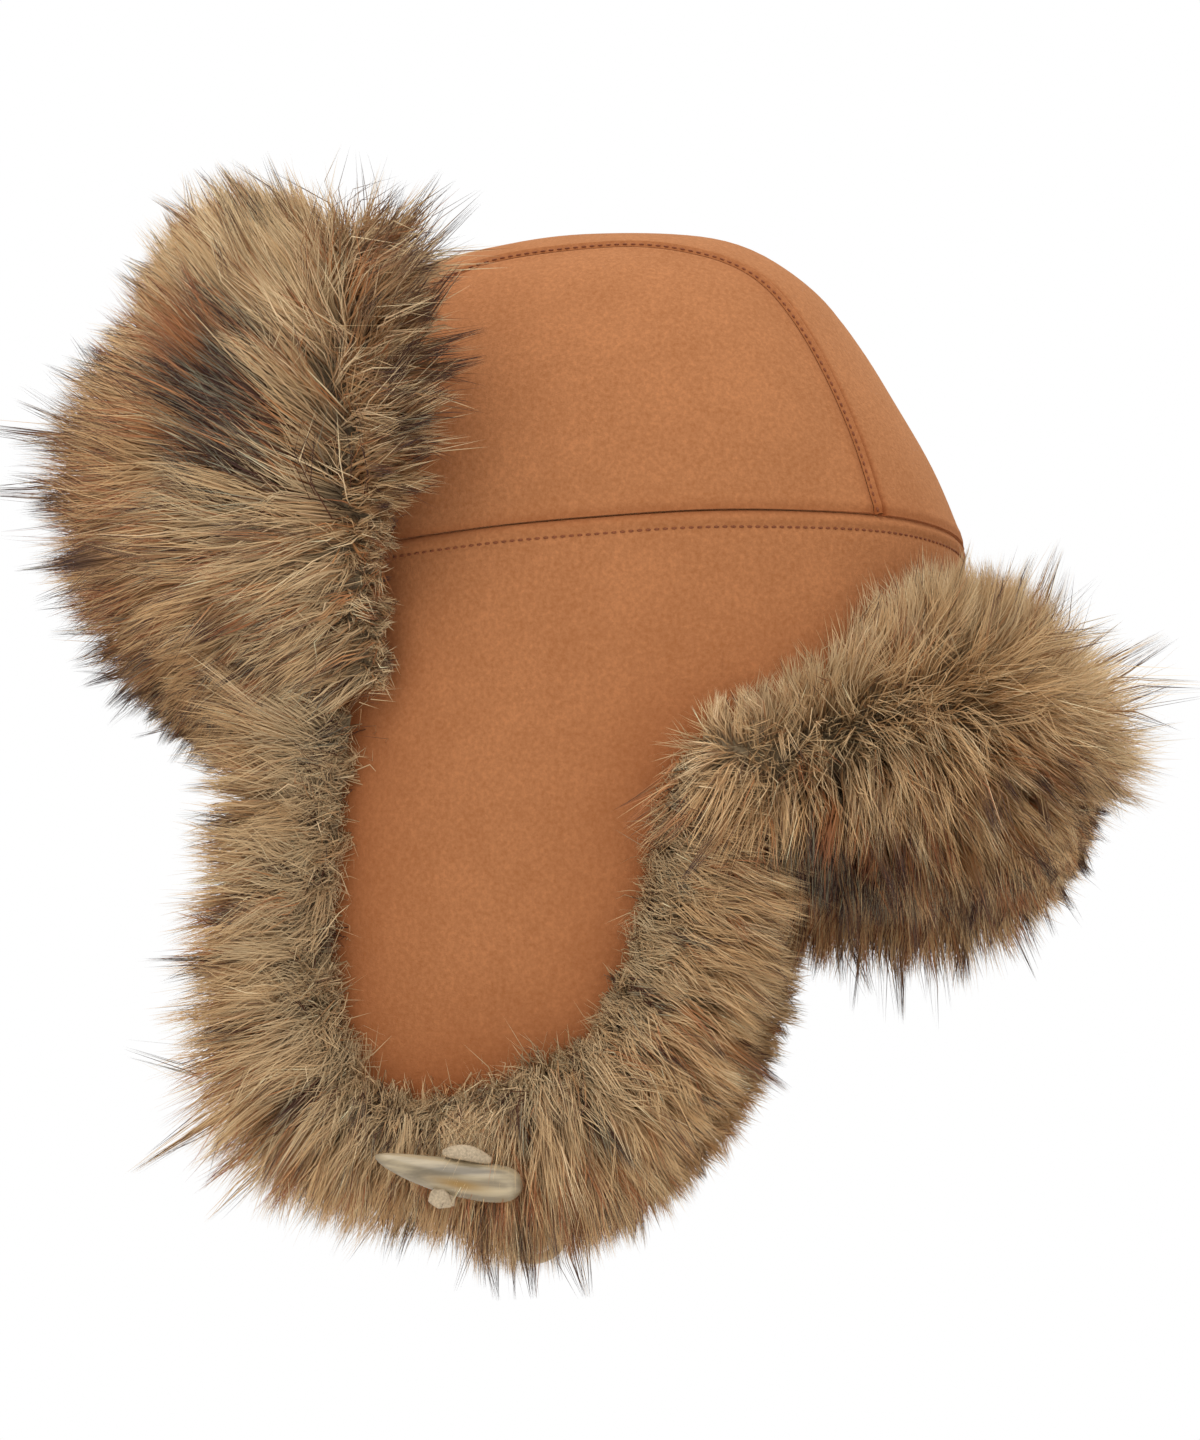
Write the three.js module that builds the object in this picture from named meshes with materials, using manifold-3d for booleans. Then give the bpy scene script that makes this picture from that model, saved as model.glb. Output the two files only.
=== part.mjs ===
// An aviator hat: a three-panel suede crown over two suede side panels that run down into
// ear flaps, a tall front flap turned up against the crown, long fur on the flap and all
// along the hem, and a horn-shaped toggle that hangs from the left ear flap.
//
// Millimetres, +Z up. The origin is the middle of the head opening, on the level of the
// front rim. The hat's front looks along -Y and the wearer's left side is +X.
import * as THREE from "three";
import { mergeVertices } from "three/addons/utils/BufferGeometryUtils.js";
import Module from "manifold-3d";

const wasm = await Module();
wasm.setup();

// Driving dimensions
const CLOTH = 2.5; // thickness of the bonded suede
const GAP = 0.4; // between neighbouring pieces
const RIM = { side: 86, front: 104, back: 102 }; // half sizes outside, on the rim's level
const SEAM = { side: 84.5, front: 101, back: 99 }; // half sizes outside, on the band seam
const SEAM_HEIGHT = 42; // of the band seam at the sides
const SEAM_PITCH = 0.06; // the seam rises this much for each millimetre towards the back
const CROWN_TOP = 140;
const ROUNDNESS = 2.15; // exponent of the oval sections, where 2 is an ellipse
const STRIP = { middle: 46, ends: 21, from: 20, to: 86, bend: 1.5 }; // the centre strip's plan
const FLAP = { depth: 118, middle: 78.5, half: 30.5, squareness: 3.6, lean: 0.12, tuck: 12 };
const FRONT_RIM = -2; // height of the hem at the front
const NAPE = { drop: 30, flare: 15, from: 118, full: 152, above: 22 }; // the neck flap's hem
const VISOR = { half: 56, bottom: -1, top: 118, side: 112, lift: 1, lean: 10, corner: 6 }; // turned up

// Each row is a section of the crown, as shares of its height and of the seam's half sizes
const CROWN_SECTIONS = [
  { rise: 0.0, side: 1.0, front: 1.0, back: 1.0 },
  { rise: 0.22, side: 0.98, front: 0.985, back: 0.912 },
  { rise: 0.43, side: 0.915, front: 0.95, back: 0.812 },
  { rise: 0.61, side: 0.81, front: 0.88, back: 0.715 },
  { rise: 0.77, side: 0.665, front: 0.775, back: 0.608 },
  { rise: 0.885, side: 0.48, front: 0.635, back: 0.478 },
  { rise: 0.955, side: 0.305, front: 0.465, back: 0.342 },
  { rise: 0.99, side: 0.155, front: 0.25, back: 0.18 },
  { rise: 1.0, side: 0.0, front: 0.0, back: 0.0 },
];

// The front flap's fur: how thick its body is, and the locks that stand out of it
const VISOR_FUR = { body: 27, edge: 9, past: 4, across: 8, up: 5, lock: 32, width: 22, heart: 24 };
const FUR_PARTING = -6; // level at which the front flap's fur meets the ear flaps' fur

// The fur on the hem: its thickness outside and inside the suede, how much of the suede it
// covers on either side, how far it reaches past the hem, and its locks
const EAR_FUR = {
  outside: 12,
  inside: 7,
  cover: 9,
  inner: 8,
  past: 15,
  stations: 14,
  locks: 9,
  lock: 21,
  width: 20,
};
const NECK_FUR = {
  outside: 19,
  inside: 7,
  cover: 46,
  inner: 8,
  past: 13,
  stations: 13,
  locks: 8,
  lock: 31,
  width: 25,
};

// The toggle's sections: along it from the thin tip, its rise, height and depth
const TOGGLE = { length: 39.5, turn: 82.2, height: -130, standoff: 24, slope: -9.5, hole: 0.52 };
const TOGGLE_SECTIONS = [
  { along: 0.0, rise: 2.0, tall: 1.6, deep: 1.6 },
  { along: 0.05, rise: 1.6, tall: 3.8, deep: 3.6 },
  { along: 0.22, rise: 0.7, tall: 6.6, deep: 6.2 },
  { along: 0.45, rise: 0.0, tall: 9.0, deep: 8.4 },
  { along: 0.72, rise: -0.1, tall: 10.4, deep: 9.4 },
  { along: 0.92, rise: 0.3, tall: 9.6, deep: 9.0 },
  { along: 1.0, rise: 0.9, tall: 6.4, deep: 6.0 },
];
const THONG = { width: 4.5, thick: 2, root: -107 };
const LOOP = { radius: 9.5, cord: 1.5 };

const LOOKS = {
  suede: { colour: 0xb9764a, roughness: 0.95 },
  fur: { colour: 0x8a7454, roughness: 0.9 },
  horn: { colour: 0xcfc4b0, roughness: 0.35 },
  leather: { colour: 0xc9b394, roughness: 0.7 },
};

const { sin, cos, abs, sign, sqrt, PI, min, max, pow } = Math;
const { degToRad, clamp, lerp, smoothstep } = THREE.MathUtils;
const vector = (x, y, z) => new THREE.Vector3(x, y, z);

// A small repeatable random number from 0 to 1, the same for the same two whole numbers
function scatter(i, salt) {
  const wave = sin(i * 12.9898 + salt * 78.233) * 43758.5453;
  return wave - Math.floor(wave);
}

// The value of one column of a table, smooth between its rows, for u from 0 to 1
function column(rows, name, u) {
  const place = clamp(u, 0, 1) * (rows.length - 1);
  const i = min(Math.floor(place), rows.length - 2);
  const at = (k) => rows[clamp(k, 0, rows.length - 1)][name];
  const t = place - i;
  const [a, b, c, d] = [at(i - 1), at(i), at(i + 1), at(i + 2)];
  const curve = 2 * a - 5 * b + 4 * c - d + t * (3 * b - a - 3 * c + d);
  return b + 0.5 * t * (c - a + t * curve);
}

// A point of an oval section. turn is in degrees from the front towards the wearer's left.
function oval(turn, side, front, back, height) {
  const s = sin(degToRad(turn));
  const c = cos(degToRad(turn));
  const squash = (v) => sign(v) * pow(abs(v), 2 / ROUNDNESS);
  return vector(side * squash(s), -(c > 0 ? front : back) * squash(c), height);
}

function seamHeight(y) {
  return SEAM_HEIGHT + SEAM_PITCH * y;
}

// A turn counted past the nape, as the same turn on the wearer's right
function signedTurn(turn) {
  return turn > 180 ? turn - 360 : turn;
}

// The crown's outer surface, for u from 0 at the band seam to 1 at the top
function crownPoint(turn, u) {
  const at = (name) => column(CROWN_SECTIONS, name, u);
  const p = oval(turn, SEAM.side * at("side"), SEAM.front * at("front"), SEAM.back * at("back"), 0);
  const foot = seamHeight(oval(turn, SEAM.side, SEAM.front, SEAM.back, 0).y) + GAP / 2;
  return p.setZ(lerp(foot, CROWN_TOP, at("rise")));
}

// How far the neck flap stands out of the upright wall
function flare(turn, height) {
  const round = smoothstep(abs(signedTurn(turn)), NAPE.from, NAPE.full);
  const down = clamp((NAPE.above - height) / (NAPE.above + NAPE.drop), 0, 1.4);
  return NAPE.flare * round * pow(down, 1.5);
}

// The outer surface of the side panels, below the band seam and down the ear flaps
function wallPoint(turn, height) {
  const up = clamp(height / SEAM_HEIGHT, 0, 1.2);
  const down = max(-height, 0);
  const tuck = FLAP.tuck * pow(down / FLAP.depth, 2);
  const out = flare(turn, height);
  const size = (name) => lerp(RIM[name], SEAM[name], up) + out;
  const p = oval(turn, size("side") - tuck, size("front"), size("back"), height);
  p.y -= FLAP.lean * down * (1 - smoothstep(abs(signedTurn(turn)), NAPE.from, NAPE.full));
  return p;
}

// The hem's height all round: the front rim, the ear flap's rounded outline and the nape
function hemHeight(turn, half = FLAP.half) {
  const across = abs((abs(turn) - FLAP.middle) / half);
  const level = abs(turn) < FLAP.middle ? FRONT_RIM : -NAPE.drop;
  if (across >= 1) return level;
  const n = FLAP.squareness;
  return min(level, -FLAP.depth * pow(1 - pow(across, n), 1 / n));
}

// The unit normal of a surface at (a, b), pointing away from the hat's upright axis
function normalOf(surface, a, b, da = 0.5, db = 0.5) {
  const along = surface(a + da, b).sub(surface(a - da, b));
  const up = surface(a, b + db).sub(surface(a, b - db));
  return along.cross(up).normalize();
}

function raised(surface, a, b, height, db = 0.5) {
  return surface(a, b).addScaledVector(normalOf(surface, a, b, 0.5, db), height);
}

function solidOf(points, triangles) {
  const flat = new THREE.BufferGeometry();
  const places = points.flatMap((p) => [p.x, p.y, p.z]);
  flat.setAttribute("position", new THREE.Float32BufferAttribute(places, 3));
  flat.setIndex(triangles);
  const merged = mergeVertices(flat, 1e-3);
  const keep = [];
  const index = merged.index.array;
  for (let i = 0; i < index.length; i += 3) {
    const [a, b, c] = [index[i], index[i + 1], index[i + 2]];
    if (a !== b && b !== c && c !== a) keep.push(a, b, c);
  }
  return new wasm.Manifold(
    new wasm.Mesh({
      numProp: 3,
      vertProperties: merged.attributes.position.array,
      triVerts: new Uint32Array(keep),
    }),
  );
}

// A solid whose faces look outwards, whichever way round its triangles were listed
function upright(points, triangles) {
  const made = solidOf(points, triangles);
  return made.volume() > 0 ? made : solidOf(points, triangles.reverse());
}

// A closed wall between two grids of points with equal rows
function wallBetween(outer, inner) {
  const rows = outer.length;
  const columns = outer[0].length;
  const points = [...outer.flat(), ...inner.flat()];
  const far = rows * columns;
  const top = (rows - 1) * columns;
  const triangles = [];
  const quad = (a, b, c, d) => triangles.push(a, b, c, a, c, d);
  for (let i = 0; i < columns - 1; i++) {
    for (let r = 0; r < rows - 1; r++) {
      const [a, b] = [r * columns + i, (r + 1) * columns + i];
      quad(a, a + 1, b + 1, b);
      quad(far + b, far + b + 1, far + a + 1, far + a);
    }
    quad(far + i, far + i + 1, i + 1, i);
    quad(top + i, top + i + 1, far + top + i + 1, far + top + i);
  }
  for (let r = 0; r < rows - 1; r++) {
    const [a, b] = [r * columns, (r + 1) * columns];
    const [c, d] = [a + columns - 1, b + columns - 1];
    quad(a, b, far + b, far + a);
    quad(c, far + c, far + d, d);
  }
  return upright(points, triangles);
}

const steps = (n, from = 0, to = 1) => Array.from({ length: n + 1 }, (_, i) => lerp(from, to, i / n));

// A body swept through rings of points, closed with flat ends
function sweep(rings) {
  const n = rings[0].length;
  const points = rings.flat();
  const triangles = [];
  for (let r = 0; r < rings.length - 1; r++)
    for (let i = 0; i < n; i++) {
      const j = (i + 1) % n;
      const [a, b, c, d] = [r * n + i, r * n + j, (r + 1) * n + j, (r + 1) * n + i];
      triangles.push(a, b, c, a, c, d);
    }
  const cap = (first, flip) => {
    const ring = rings[first / n];
    const middle = ring.reduce((sum, p) => sum.add(p), vector(0, 0, 0)).divideScalar(n);
    points.push(middle);
    for (let i = 0; i < n; i++) {
      const [a, b] = [first + i, first + ((i + 1) % n)];
      triangles.push(...(flip ? [points.length - 1, a, b] : [points.length - 1, b, a]));
    }
  };
  cap(0, false);
  cap((rings.length - 1) * n, true);
  return upright(points, triangles);
}

// The crown: one shell, cut along the two edges of its centre strip
const CROWN_TURNS = 36;
const CROWN_ROWS = 8;

function crownShell() {
  const turns = steps(CROWN_TURNS, 0, 360).slice(0, -1);
  const rows = steps(CROWN_ROWS, 0, 0.985);
  const outer = rows.map((u) => turns.map((t) => crownPoint(signedTurn(t), u)));
  const inner = rows.map((u) => turns.map((t) => raised(crownPoint, signedTurn(t), u, -CLOTH, 0.01)));
  inner[0].forEach((p, i) => p.setZ(outer[0][i].z));
  const apex = [vector(0, 0, CROWN_TOP), vector(0, 0, CROWN_TOP - CLOTH)];
  inner[CROWN_ROWS].forEach((p) => p.setZ(min(p.z, CROWN_TOP - CLOTH - 0.5)));
  outer.push(turns.map(() => apex[0].clone()));
  inner.push(turns.map(() => apex[1].clone()));
  return shellOfRings(outer, inner);
}

// A dome whose last row is a single point, outside and inside
function shellOfRings(outer, inner) {
  const n = outer[0].length;
  const rows = outer.length - 1;
  const side = (grid) => [...grid.slice(0, rows).flat(), grid[rows][0]];
  const points = [...side(outer), ...side(inner)];
  const far = rows * n + 1;
  const triangles = [];
  for (let i = 0; i < n; i++) {
    const j = (i + 1) % n;
    for (let r = 0; r < rows - 1; r++) {
      const [a, b, c, d] = [r * n + i, r * n + j, (r + 1) * n + j, (r + 1) * n + i];
      triangles.push(a, b, c, a, c, d);
      triangles.push(far + d, far + c, far + b, far + d, far + b, far + a);
    }
    const top = (rows - 1) * n;
    triangles.push(top + i, top + j, rows * n);
    triangles.push(far + top + j, far + top + i, far + rows * n);
    triangles.push(far + i, far + j, j, far + i, j, i);
  }
  return solidOf(points, triangles);
}

// Half the centre strip's width in plan, narrow on top and wide at both ends
function stripHalfWidth(y) {
  const out = clamp((abs(y) - STRIP.from) / (STRIP.to - STRIP.from), 0, 1.1);
  return STRIP.middle + STRIP.ends * pow(out, STRIP.bend);
}

// A thin upright curtain along one edge of the centre strip, which parts the panels
function curtain(side) {
  const outline = new THREE.Shape();
  const edge = steps(14, -112, 112);
  const plan = (y, shift) => [side * stripHalfWidth(y) + shift, y];
  edge.forEach((y, i) => outline[i ? "lineTo" : "moveTo"](...plan(y, -GAP / 2)));
  edge.reverse().forEach((y) => outline.lineTo(...plan(y, GAP / 2)));
  const cut = new THREE.ExtrudeGeometry(outline, { depth: CROWN_TOP, bevelEnabled: false });
  cut.translate(0, 0, SEAM_HEIGHT / 2);
  return fromGeometry(cut);
}

function fromGeometry(geometry) {
  const bare = geometry.clone();
  bare.deleteAttribute("normal");
  bare.deleteAttribute("uv");
  const merged = mergeVertices(bare, 1e-3);
  const vertProperties = merged.attributes.position.array;
  const triVerts = new Uint32Array(merged.index.array);
  return new wasm.Manifold(new wasm.Mesh({ numProp: 3, vertProperties, triVerts }));
}

function crownPanels() {
  const parts = crownShell().subtract(curtain(1)).subtract(curtain(-1)).decompose();
  const middle = (solid) => (solid.boundingBox().min[0] + solid.boundingBox().max[0]) / 2;
  const found = parts.filter((p) => p.volume() > 100).sort((a, b) => middle(a) - middle(b));
  return { crown_side_right: found[0], crown_centre_strip: found[1], crown_side_left: found[2] };
}

// Millimetres along the wall for each degree of turn, near enough
const TURN_LENGTH = 1.6;

// The side panels: band, ear flap and half of the neck flap in one piece of suede
const PANEL_ROWS = 5;

function panelTurns(half, ends) {
  const ahead = steps(6, ends.front, FLAP.middle - half - 2.5);
  const flap = steps(16, -1, 1).map((q) => FLAP.middle + half * sin((q * PI) / 2) * 0.9995);
  const behind = steps(6, FLAP.middle + half + 3.5, ends.back);
  return [...ahead, ...flap, ...behind];
}

// The left panel, or with some spare all round it the room that its fur leaves for it
function sidePanel(spare = 0) {
  const half = FLAP.half + spare / TURN_LENGTH;
  const turns = panelTurns(half, spare ? { front: -0.5, back: 180.5 } : { front: 1.2, back: 179.8 });
  const top = (turn) => seamHeight(wallPoint(turn, SEAM_HEIGHT).y) - GAP / 2 + spare;
  const height = (turn, v) => lerp(top(turn), hemHeight(turn, half) - spare, v);
  const face = (off) => steps(PANEL_ROWS).map((v) => turns.map((t) => raised(wallPoint, t, height(t, v), off)));
  const [outer, inner] = [face(spare), face(-CLOTH - spare)];
  if (!spare) inner[0].forEach((p, i) => p.setZ(outer[0][i].z));
  return wallBetween(inner, outer);
}

// The front flap, turned up: upright, standing off the crown and leaning out a little
function visorPoint(turn, share) {
  const corner = 1 - pow(abs(turn) / VISOR.half, VISOR.corner);
  const top = lerp(VISOR.side, VISOR.top, max(corner, 0));
  const height = lerp(VISOR.bottom, top, share);
  const out = VISOR.lift + CLOTH + VISOR.lean * sin((share * PI) / 2);
  return wallPointAt(turn, out, height);
}

function wallPointAt(turn, out, height) {
  return oval(turn, RIM.side + out, RIM.front + out, RIM.back + out, height);
}

// The flap's backing, or with some spare all round it the room that its fur leaves for it
function visorBacking(spare = 0) {
  const half = VISOR.half + spare / TURN_LENGTH;
  const turns = steps(14, -half, half);
  const rows = steps(5, -spare / VISOR.top, 1 + spare / VISOR.top);
  const outer = rows.map((v) => turns.map((t) => raised(visorPoint, t, v, spare, 0.02)));
  const inner = rows.map((v) => turns.map((t) => raised(visorPoint, t, v, -CLOTH - spare, 0.02)));
  return wallBetween(outer, inner);
}

// One lock of fur: a three-sided horn that starts inside the body and sags as it goes
function lock(root, direction, length, width, droop) {
  const out = direction.clone().normalize();
  const side = vector(out.y, -out.x, 0.3).normalize().cross(out).normalize();
  const other = side.clone().cross(out).normalize();
  const ring = (along, radius, sag) => {
    const centre = root.clone().addScaledVector(out, along);
    centre.z -= sag;
    return [0, 1, 2].map((k) => {
      const turn = (k * 2 * PI) / 3;
      const p = centre.clone().addScaledVector(side, radius * cos(turn));
      return p.addScaledVector(other, radius * sin(turn));
    });
  };
  const points = [...ring(-5, width * 0.5, 0), ...ring(length * 0.5, width * 0.37, droop * 0.25)];
  points.push(root.clone().addScaledVector(out, length).add(vector(0, 0, -droop)));
  const triangles = [0, 2, 1];
  for (let k = 0; k < 3; k++) {
    const j = (k + 1) % 3;
    triangles.push(k, j, 3 + j, k, 3 + j, 3 + k, 3 + k, 3 + j, 6);
  }
  return upright(points, triangles);
}

// Joins many solids in pairs, then keeps the largest connected body
function fuse(pieces) {
  let list = pieces;
  while (list.length > 1) {
    const next = [];
    for (let i = 0; i + 1 < list.length; i += 2) next.push(list[i].add(list[i + 1]));
    if (list.length % 2) next.push(list[list.length - 1]);
    list = next;
  }
  return largest(list[0]);
}

function roomFor(pieces, solid) {
  return pieces.reduce((rest, piece) => rest.subtract(piece), solid);
}

function largest(solid) {
  return solid.decompose().sort((a, b) => b.volume() - a.volume())[0];
}

// The front flap's fur: a padded body on the outside of the backing, with its locks
function visorFur() {
  const reach = VISOR.half + VISOR_FUR.past;
  const rim = (turn, share) => max(abs(turn) / reach, abs(2 * share - 1));
  const bulge = (turn, share) => {
    const fall = sqrt(1 - pow(min(rim(turn, share), 1), 5));
    return GAP + VISOR_FUR.edge + (VISOR_FUR.body - VISOR_FUR.edge) * fall;
  };
  const onFlap = (turn, share, height) => raised(visorPoint, turn, share, height, 0.02);
  const turns = steps(12, -reach, reach);
  const shares = steps(6, 0, 1.04);
  const outer = shares.map((v) => turns.map((t) => onFlap(t, v, bulge(t, v))));
  const inner = shares.map((v) => turns.map((t) => onFlap(t, v, -CLOTH / 2)));
  const pieces = [wallBetween(outer, inner)];
  const heart = vector(0, -RIM.front, VISOR_FUR.heart);
  for (let j = 0; j < VISOR_FUR.up; j++)
    for (let i = 0; i < VISOR_FUR.across; i++) {
      const k = j * VISOR_FUR.across + i;
      const u = (i + 0.5 * (j % 2) + 0.3 * (scatter(k, 1) - 0.5)) / (VISOR_FUR.across - 0.5);
      const v = (j + 0.3 * (scatter(k, 2) - 0.5)) / (VISOR_FUR.up - 1);
      const [turn, share] = [lerp(-reach, reach, clamp(u, 0, 1)), lerp(0.04, 1.03, clamp(v, 0, 1))];
      const root = onFlap(turn, share, bulge(turn, share) - 4);
      const out = normalOf(visorPoint, turn, share, 0.5, 0.02);
      const away = root.clone().sub(heart).projectOnPlane(out).normalize();
      const direction = out.clone().addScaledVector(away, 0.3 + 1.3 * pow(rim(turn, share), 3));
      if (share > 0.8) direction.z += 0.8;
      const length = VISOR_FUR.lock * (0.85 + 0.35 * scatter(k, 3));
      pieces.push(lock(root, direction, length, VISOR_FUR.width, 2));
    }
  const above = trimmed(fuse(pieces), vector(0, 0, 1), FUR_PARTING + GAP / 2);
  return largest(roomFor([visorBacking(GAP), sidePanel(GAP), mirrored(sidePanel(GAP))], above));
}

// A hem's course in a flat chart of the wall
function chart(turn, height) {
  return new THREE.Vector2(turn * TURN_LENGTH, height);
}

// The ear flap's outline from its front corner down, round and up to the neck flap
function earHem() {
  const power = 2 / FLAP.squareness;
  const points = steps(60, 0.1, 179.9).map((angle) => {
    const [c, s] = [cos(degToRad(angle)), sin(degToRad(angle))];
    return chart(FLAP.middle - FLAP.half * sign(c) * pow(abs(c), power), -FLAP.depth * pow(abs(s), power));
  });
  const level = (p) => (p.x < FLAP.middle * TURN_LENGTH ? FUR_PARTING - 1 : -NAPE.drop + 4);
  return new THREE.SplineCurve(points.filter((p) => p.y < level(p)));
}

function neckHem() {
  const first = FLAP.middle + FLAP.half - 2;
  return new THREE.SplineCurve(steps(24, first, 360 - first).map((turn) => chart(turn, -NAPE.drop)));
}

// A place on the wall near a hem: past it by a, and off the suede's outside by height
function nearHem(hem, u, a, height) {
  const [p, t] = [hem.getPointAt(u), hem.getTangentAt(u)];
  return raised(wallPoint, (p.x + a * t.y) / TURN_LENGTH, p.y - a * t.x, height);
}

// A body of fur round a hem, and rows of locks all round it
function hemFur(hem, fur, cover, rows) {
  const middle = -CLOTH / 2;
  const inside = -CLOTH - GAP - fur.inside;
  const section = (u) => [
    [-cover(u), middle],
    [-cover(u) * 0.95, fur.outside * 0.6],
    [-cover(u) * 0.4, fur.outside],
    [fur.past * 0.6, fur.outside * 0.8],
    [fur.past, middle],
    [fur.past * 0.5, inside],
    [-fur.inner, inside * 0.7],
    [-fur.inner, middle],
  ];
  const rings = steps(fur.stations).map((u) => section(u).map(([a, height]) => nearHem(hem, u, a, height)));
  const pieces = [sweep(rings)];
  rows.forEach((row, j) => {
    for (let i = 0; i < fur.locks; i++) {
      const k = j * fur.locks + i;
      const u = clamp((i + 0.5 * (j % 2) + 0.25 + 0.4 * (scatter(k, 4) - 0.5)) / fur.locks, 0.01, 0.99);
      const a = row.of_cover * cover(u) + row.past * fur.past;
      const root = nearHem(hem, u, a, row.height);
      const out = nearHem(hem, u, a, row.height + 1).sub(root);
      const away = nearHem(hem, u, a + 1, row.height).sub(root).normalize();
      const direction = out.multiplyScalar(row.out).addScaledVector(away, row.away);
      direction.z += row.lift;
      const length = fur.lock * row.long * (0.85 + 0.35 * scatter(k, 5));
      pieces.push(lock(root, direction, length, fur.width, 2));
    }
  });
  return fuse(pieces);
}

// Rows of locks: where they root, as shares of the cover and the reach past the hem and as
// a height off the suede, and how far they lean out, away from the hem and upwards
const EAR_LOCKS = [
  { of_cover: -0.6, past: 0, height: 6, out: 1, away: 0.5, lift: -0.15, long: 0.9 },
  { of_cover: 0, past: 0.5, height: 6, out: 0.6, away: 1, lift: -0.15, long: 1.15 },
  { of_cover: 0, past: 0.7, height: -5, out: -0.3, away: 1, lift: -0.15, long: 1 },
];
const NECK_LOCKS = [
  { of_cover: -0.85, past: 0, height: 7, out: 0.8, away: -0.9, lift: 0, long: 1 },
  { of_cover: -0.5, past: 0, height: 14, out: 1, away: -0.2, lift: 0, long: 1.2 },
  { of_cover: -0.1, past: 0, height: 13, out: 1, away: 0.35, lift: 0, long: 1.2 },
  { of_cover: 0, past: 0.6, height: 3, out: 0.3, away: 1, lift: 0, long: 0.8 },
];

// The slanting plane that parts the ear flap's fur from the neck's, as its normal
// and its distance from the origin
function furParting() {
  const corner = wallPoint(FLAP.middle + FLAP.half, -NAPE.drop);
  const back = wallPoint(FLAP.middle + FLAP.half + 1, -NAPE.drop).sub(corner).normalize();
  const normal = back.add(vector(0, 0, 1)).normalize();
  return { normal, distance: normal.dot(corner) };
}

function mirrored(solid) {
  return solid.mirror([1, 0, 0]);
}

function trimmed(solid, normal, distance) {
  return largest(solid.trimByPlane([normal.x, normal.y, normal.z], distance));
}

// The left ear flap's fur, parted from its neighbours, with room for the suede and the toggle
function trimmedEarFur() {
  const { normal, distance } = furParting();
  const body = hemFur(earHem(), EAR_FUR, () => EAR_FUR.cover, EAR_LOCKS);
  const ahead = trimmed(body, normal.clone().negate(), GAP / 2 - distance);
  const below = trimmed(ahead, vector(0, 0, -1), GAP / 2 - FUR_PARTING);
  return largest(roomFor([sidePanel(GAP), ...closureRoom()], below));
}

function neckFur() {
  const { normal, distance } = furParting();
  const hem = neckHem();
  const half = 180 - (FLAP.middle + FLAP.half);
  const cover = (u) => {
    const aside = 1 - abs(hem.getPointAt(u).x / TURN_LENGTH - 180) / half;
    return lerp(14, NECK_FUR.cover, smoothstep(aside, 0, 0.6));
  };
  const body = hemFur(hem, NECK_FUR, cover, NECK_LOCKS);
  const left = trimmed(body, normal, distance + GAP / 2);
  const both = trimmed(left, normal.clone().setX(-normal.x), distance + GAP / 2);
  return largest(roomFor([sidePanel(GAP), mirrored(sidePanel(GAP))], both));
}

// The share of the toggle's length at which its frame stands
const TOGGLE_MIDDLE = 0.55;

// The toggle's own frame: its middle, and unit vectors along it, up and outwards
function toggleFrame() {
  const middle = raised(wallPoint, TOGGLE.turn, TOGGLE.height, TOGGLE.standoff);
  const along = vector(0, cos(degToRad(TOGGLE.slope)), sin(degToRad(TOGGLE.slope)));
  const out = vector(1, 0, 0);
  return { middle, along, up: out.clone().cross(along), out };
}

// An oval ring of points round the toggle at a share of its length
function toggleRing(share, spare, sides) {
  const { middle, along, up, out } = toggleFrame();
  const at = (name) => sectionAt(TOGGLE_SECTIONS, name, share);
  return Array.from({ length: sides }, (_, i) => {
    const turn = (i * 2 * PI) / sides;
    const p = middle.clone().addScaledVector(along, (share - TOGGLE_MIDDLE) * TOGGLE.length);
    p.addScaledVector(up, at("rise") + (at("tall") / 2 + spare) * sin(turn));
    return p.addScaledVector(out, (at("deep") / 2 + spare) * cos(turn));
  });
}

// A column of a table whose rows are placed by their "along" value
function sectionAt(rows, name, along) {
  const i = clamp(rows.findIndex((row) => row.along > along), 1, rows.length - 1);
  const [from, to] = along >= 1 ? rows.slice(-2) : [rows[i - 1], rows[i]];
  return lerp(from[name], to[name], (along - from.along) / (to.along - from.along));
}

function toggle() {
  const horn = sweep(TOGGLE_SECTIONS.map((row) => toggleRing(row.along, 0, 12)));
  return horn.subtract(stem(GAP, TOGGLE_REACH));
}

// The strap's four corners round a place, for a direction that it runs in
function strapRing(place, direction, spare) {
  const wide = toggleFrame().along.setLength(THONG.width / 2 + spare);
  const thick = wide.clone().cross(direction).setLength(THONG.thick / 2 + spare);
  return [
    place.clone().add(wide).add(thick),
    place.clone().sub(wide).add(thick),
    place.clone().sub(wide).sub(thick),
    place.clone().add(wide).sub(thick),
  ];
}

// The strap's stretch through the toggle's hole, as long as reach above and below its middle
const TOGGLE_REACH = 12;

function stem(spare, reach) {
  const { up } = toggleFrame();
  return sweep([reach, -reach].map((at) => strapRing(holePlace(at), up.clone().negate(), spare)));
}

function holePlace(up) {
  const hold = toggleFrame();
  const place = hold.middle.clone().addScaledVector(hold.up, up);
  return place.addScaledVector(hold.along, (TOGGLE.hole - TOGGLE_MIDDLE) * TOGGLE.length);
}

// The strap from the suede over the fur down to the top of the toggle's hole
function strap(spare) {
  const course = [
    raised(wallPoint, TOGGLE.turn, THONG.root, GAP + THONG.thick / 2 + 0.2),
    raised(wallPoint, TOGGLE.turn, THONG.root - 6, 9),
    raised(wallPoint, TOGGLE.turn, THONG.root - 11, 17),
    holePlace(7),
    holePlace(5),
  ];
  const curve = new THREE.CatmullRomCurve3(course);
  return sweep(steps(9).map((u) => strapRing(curve.getPointAt(u), curve.getTangentAt(u), spare)));
}

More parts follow.
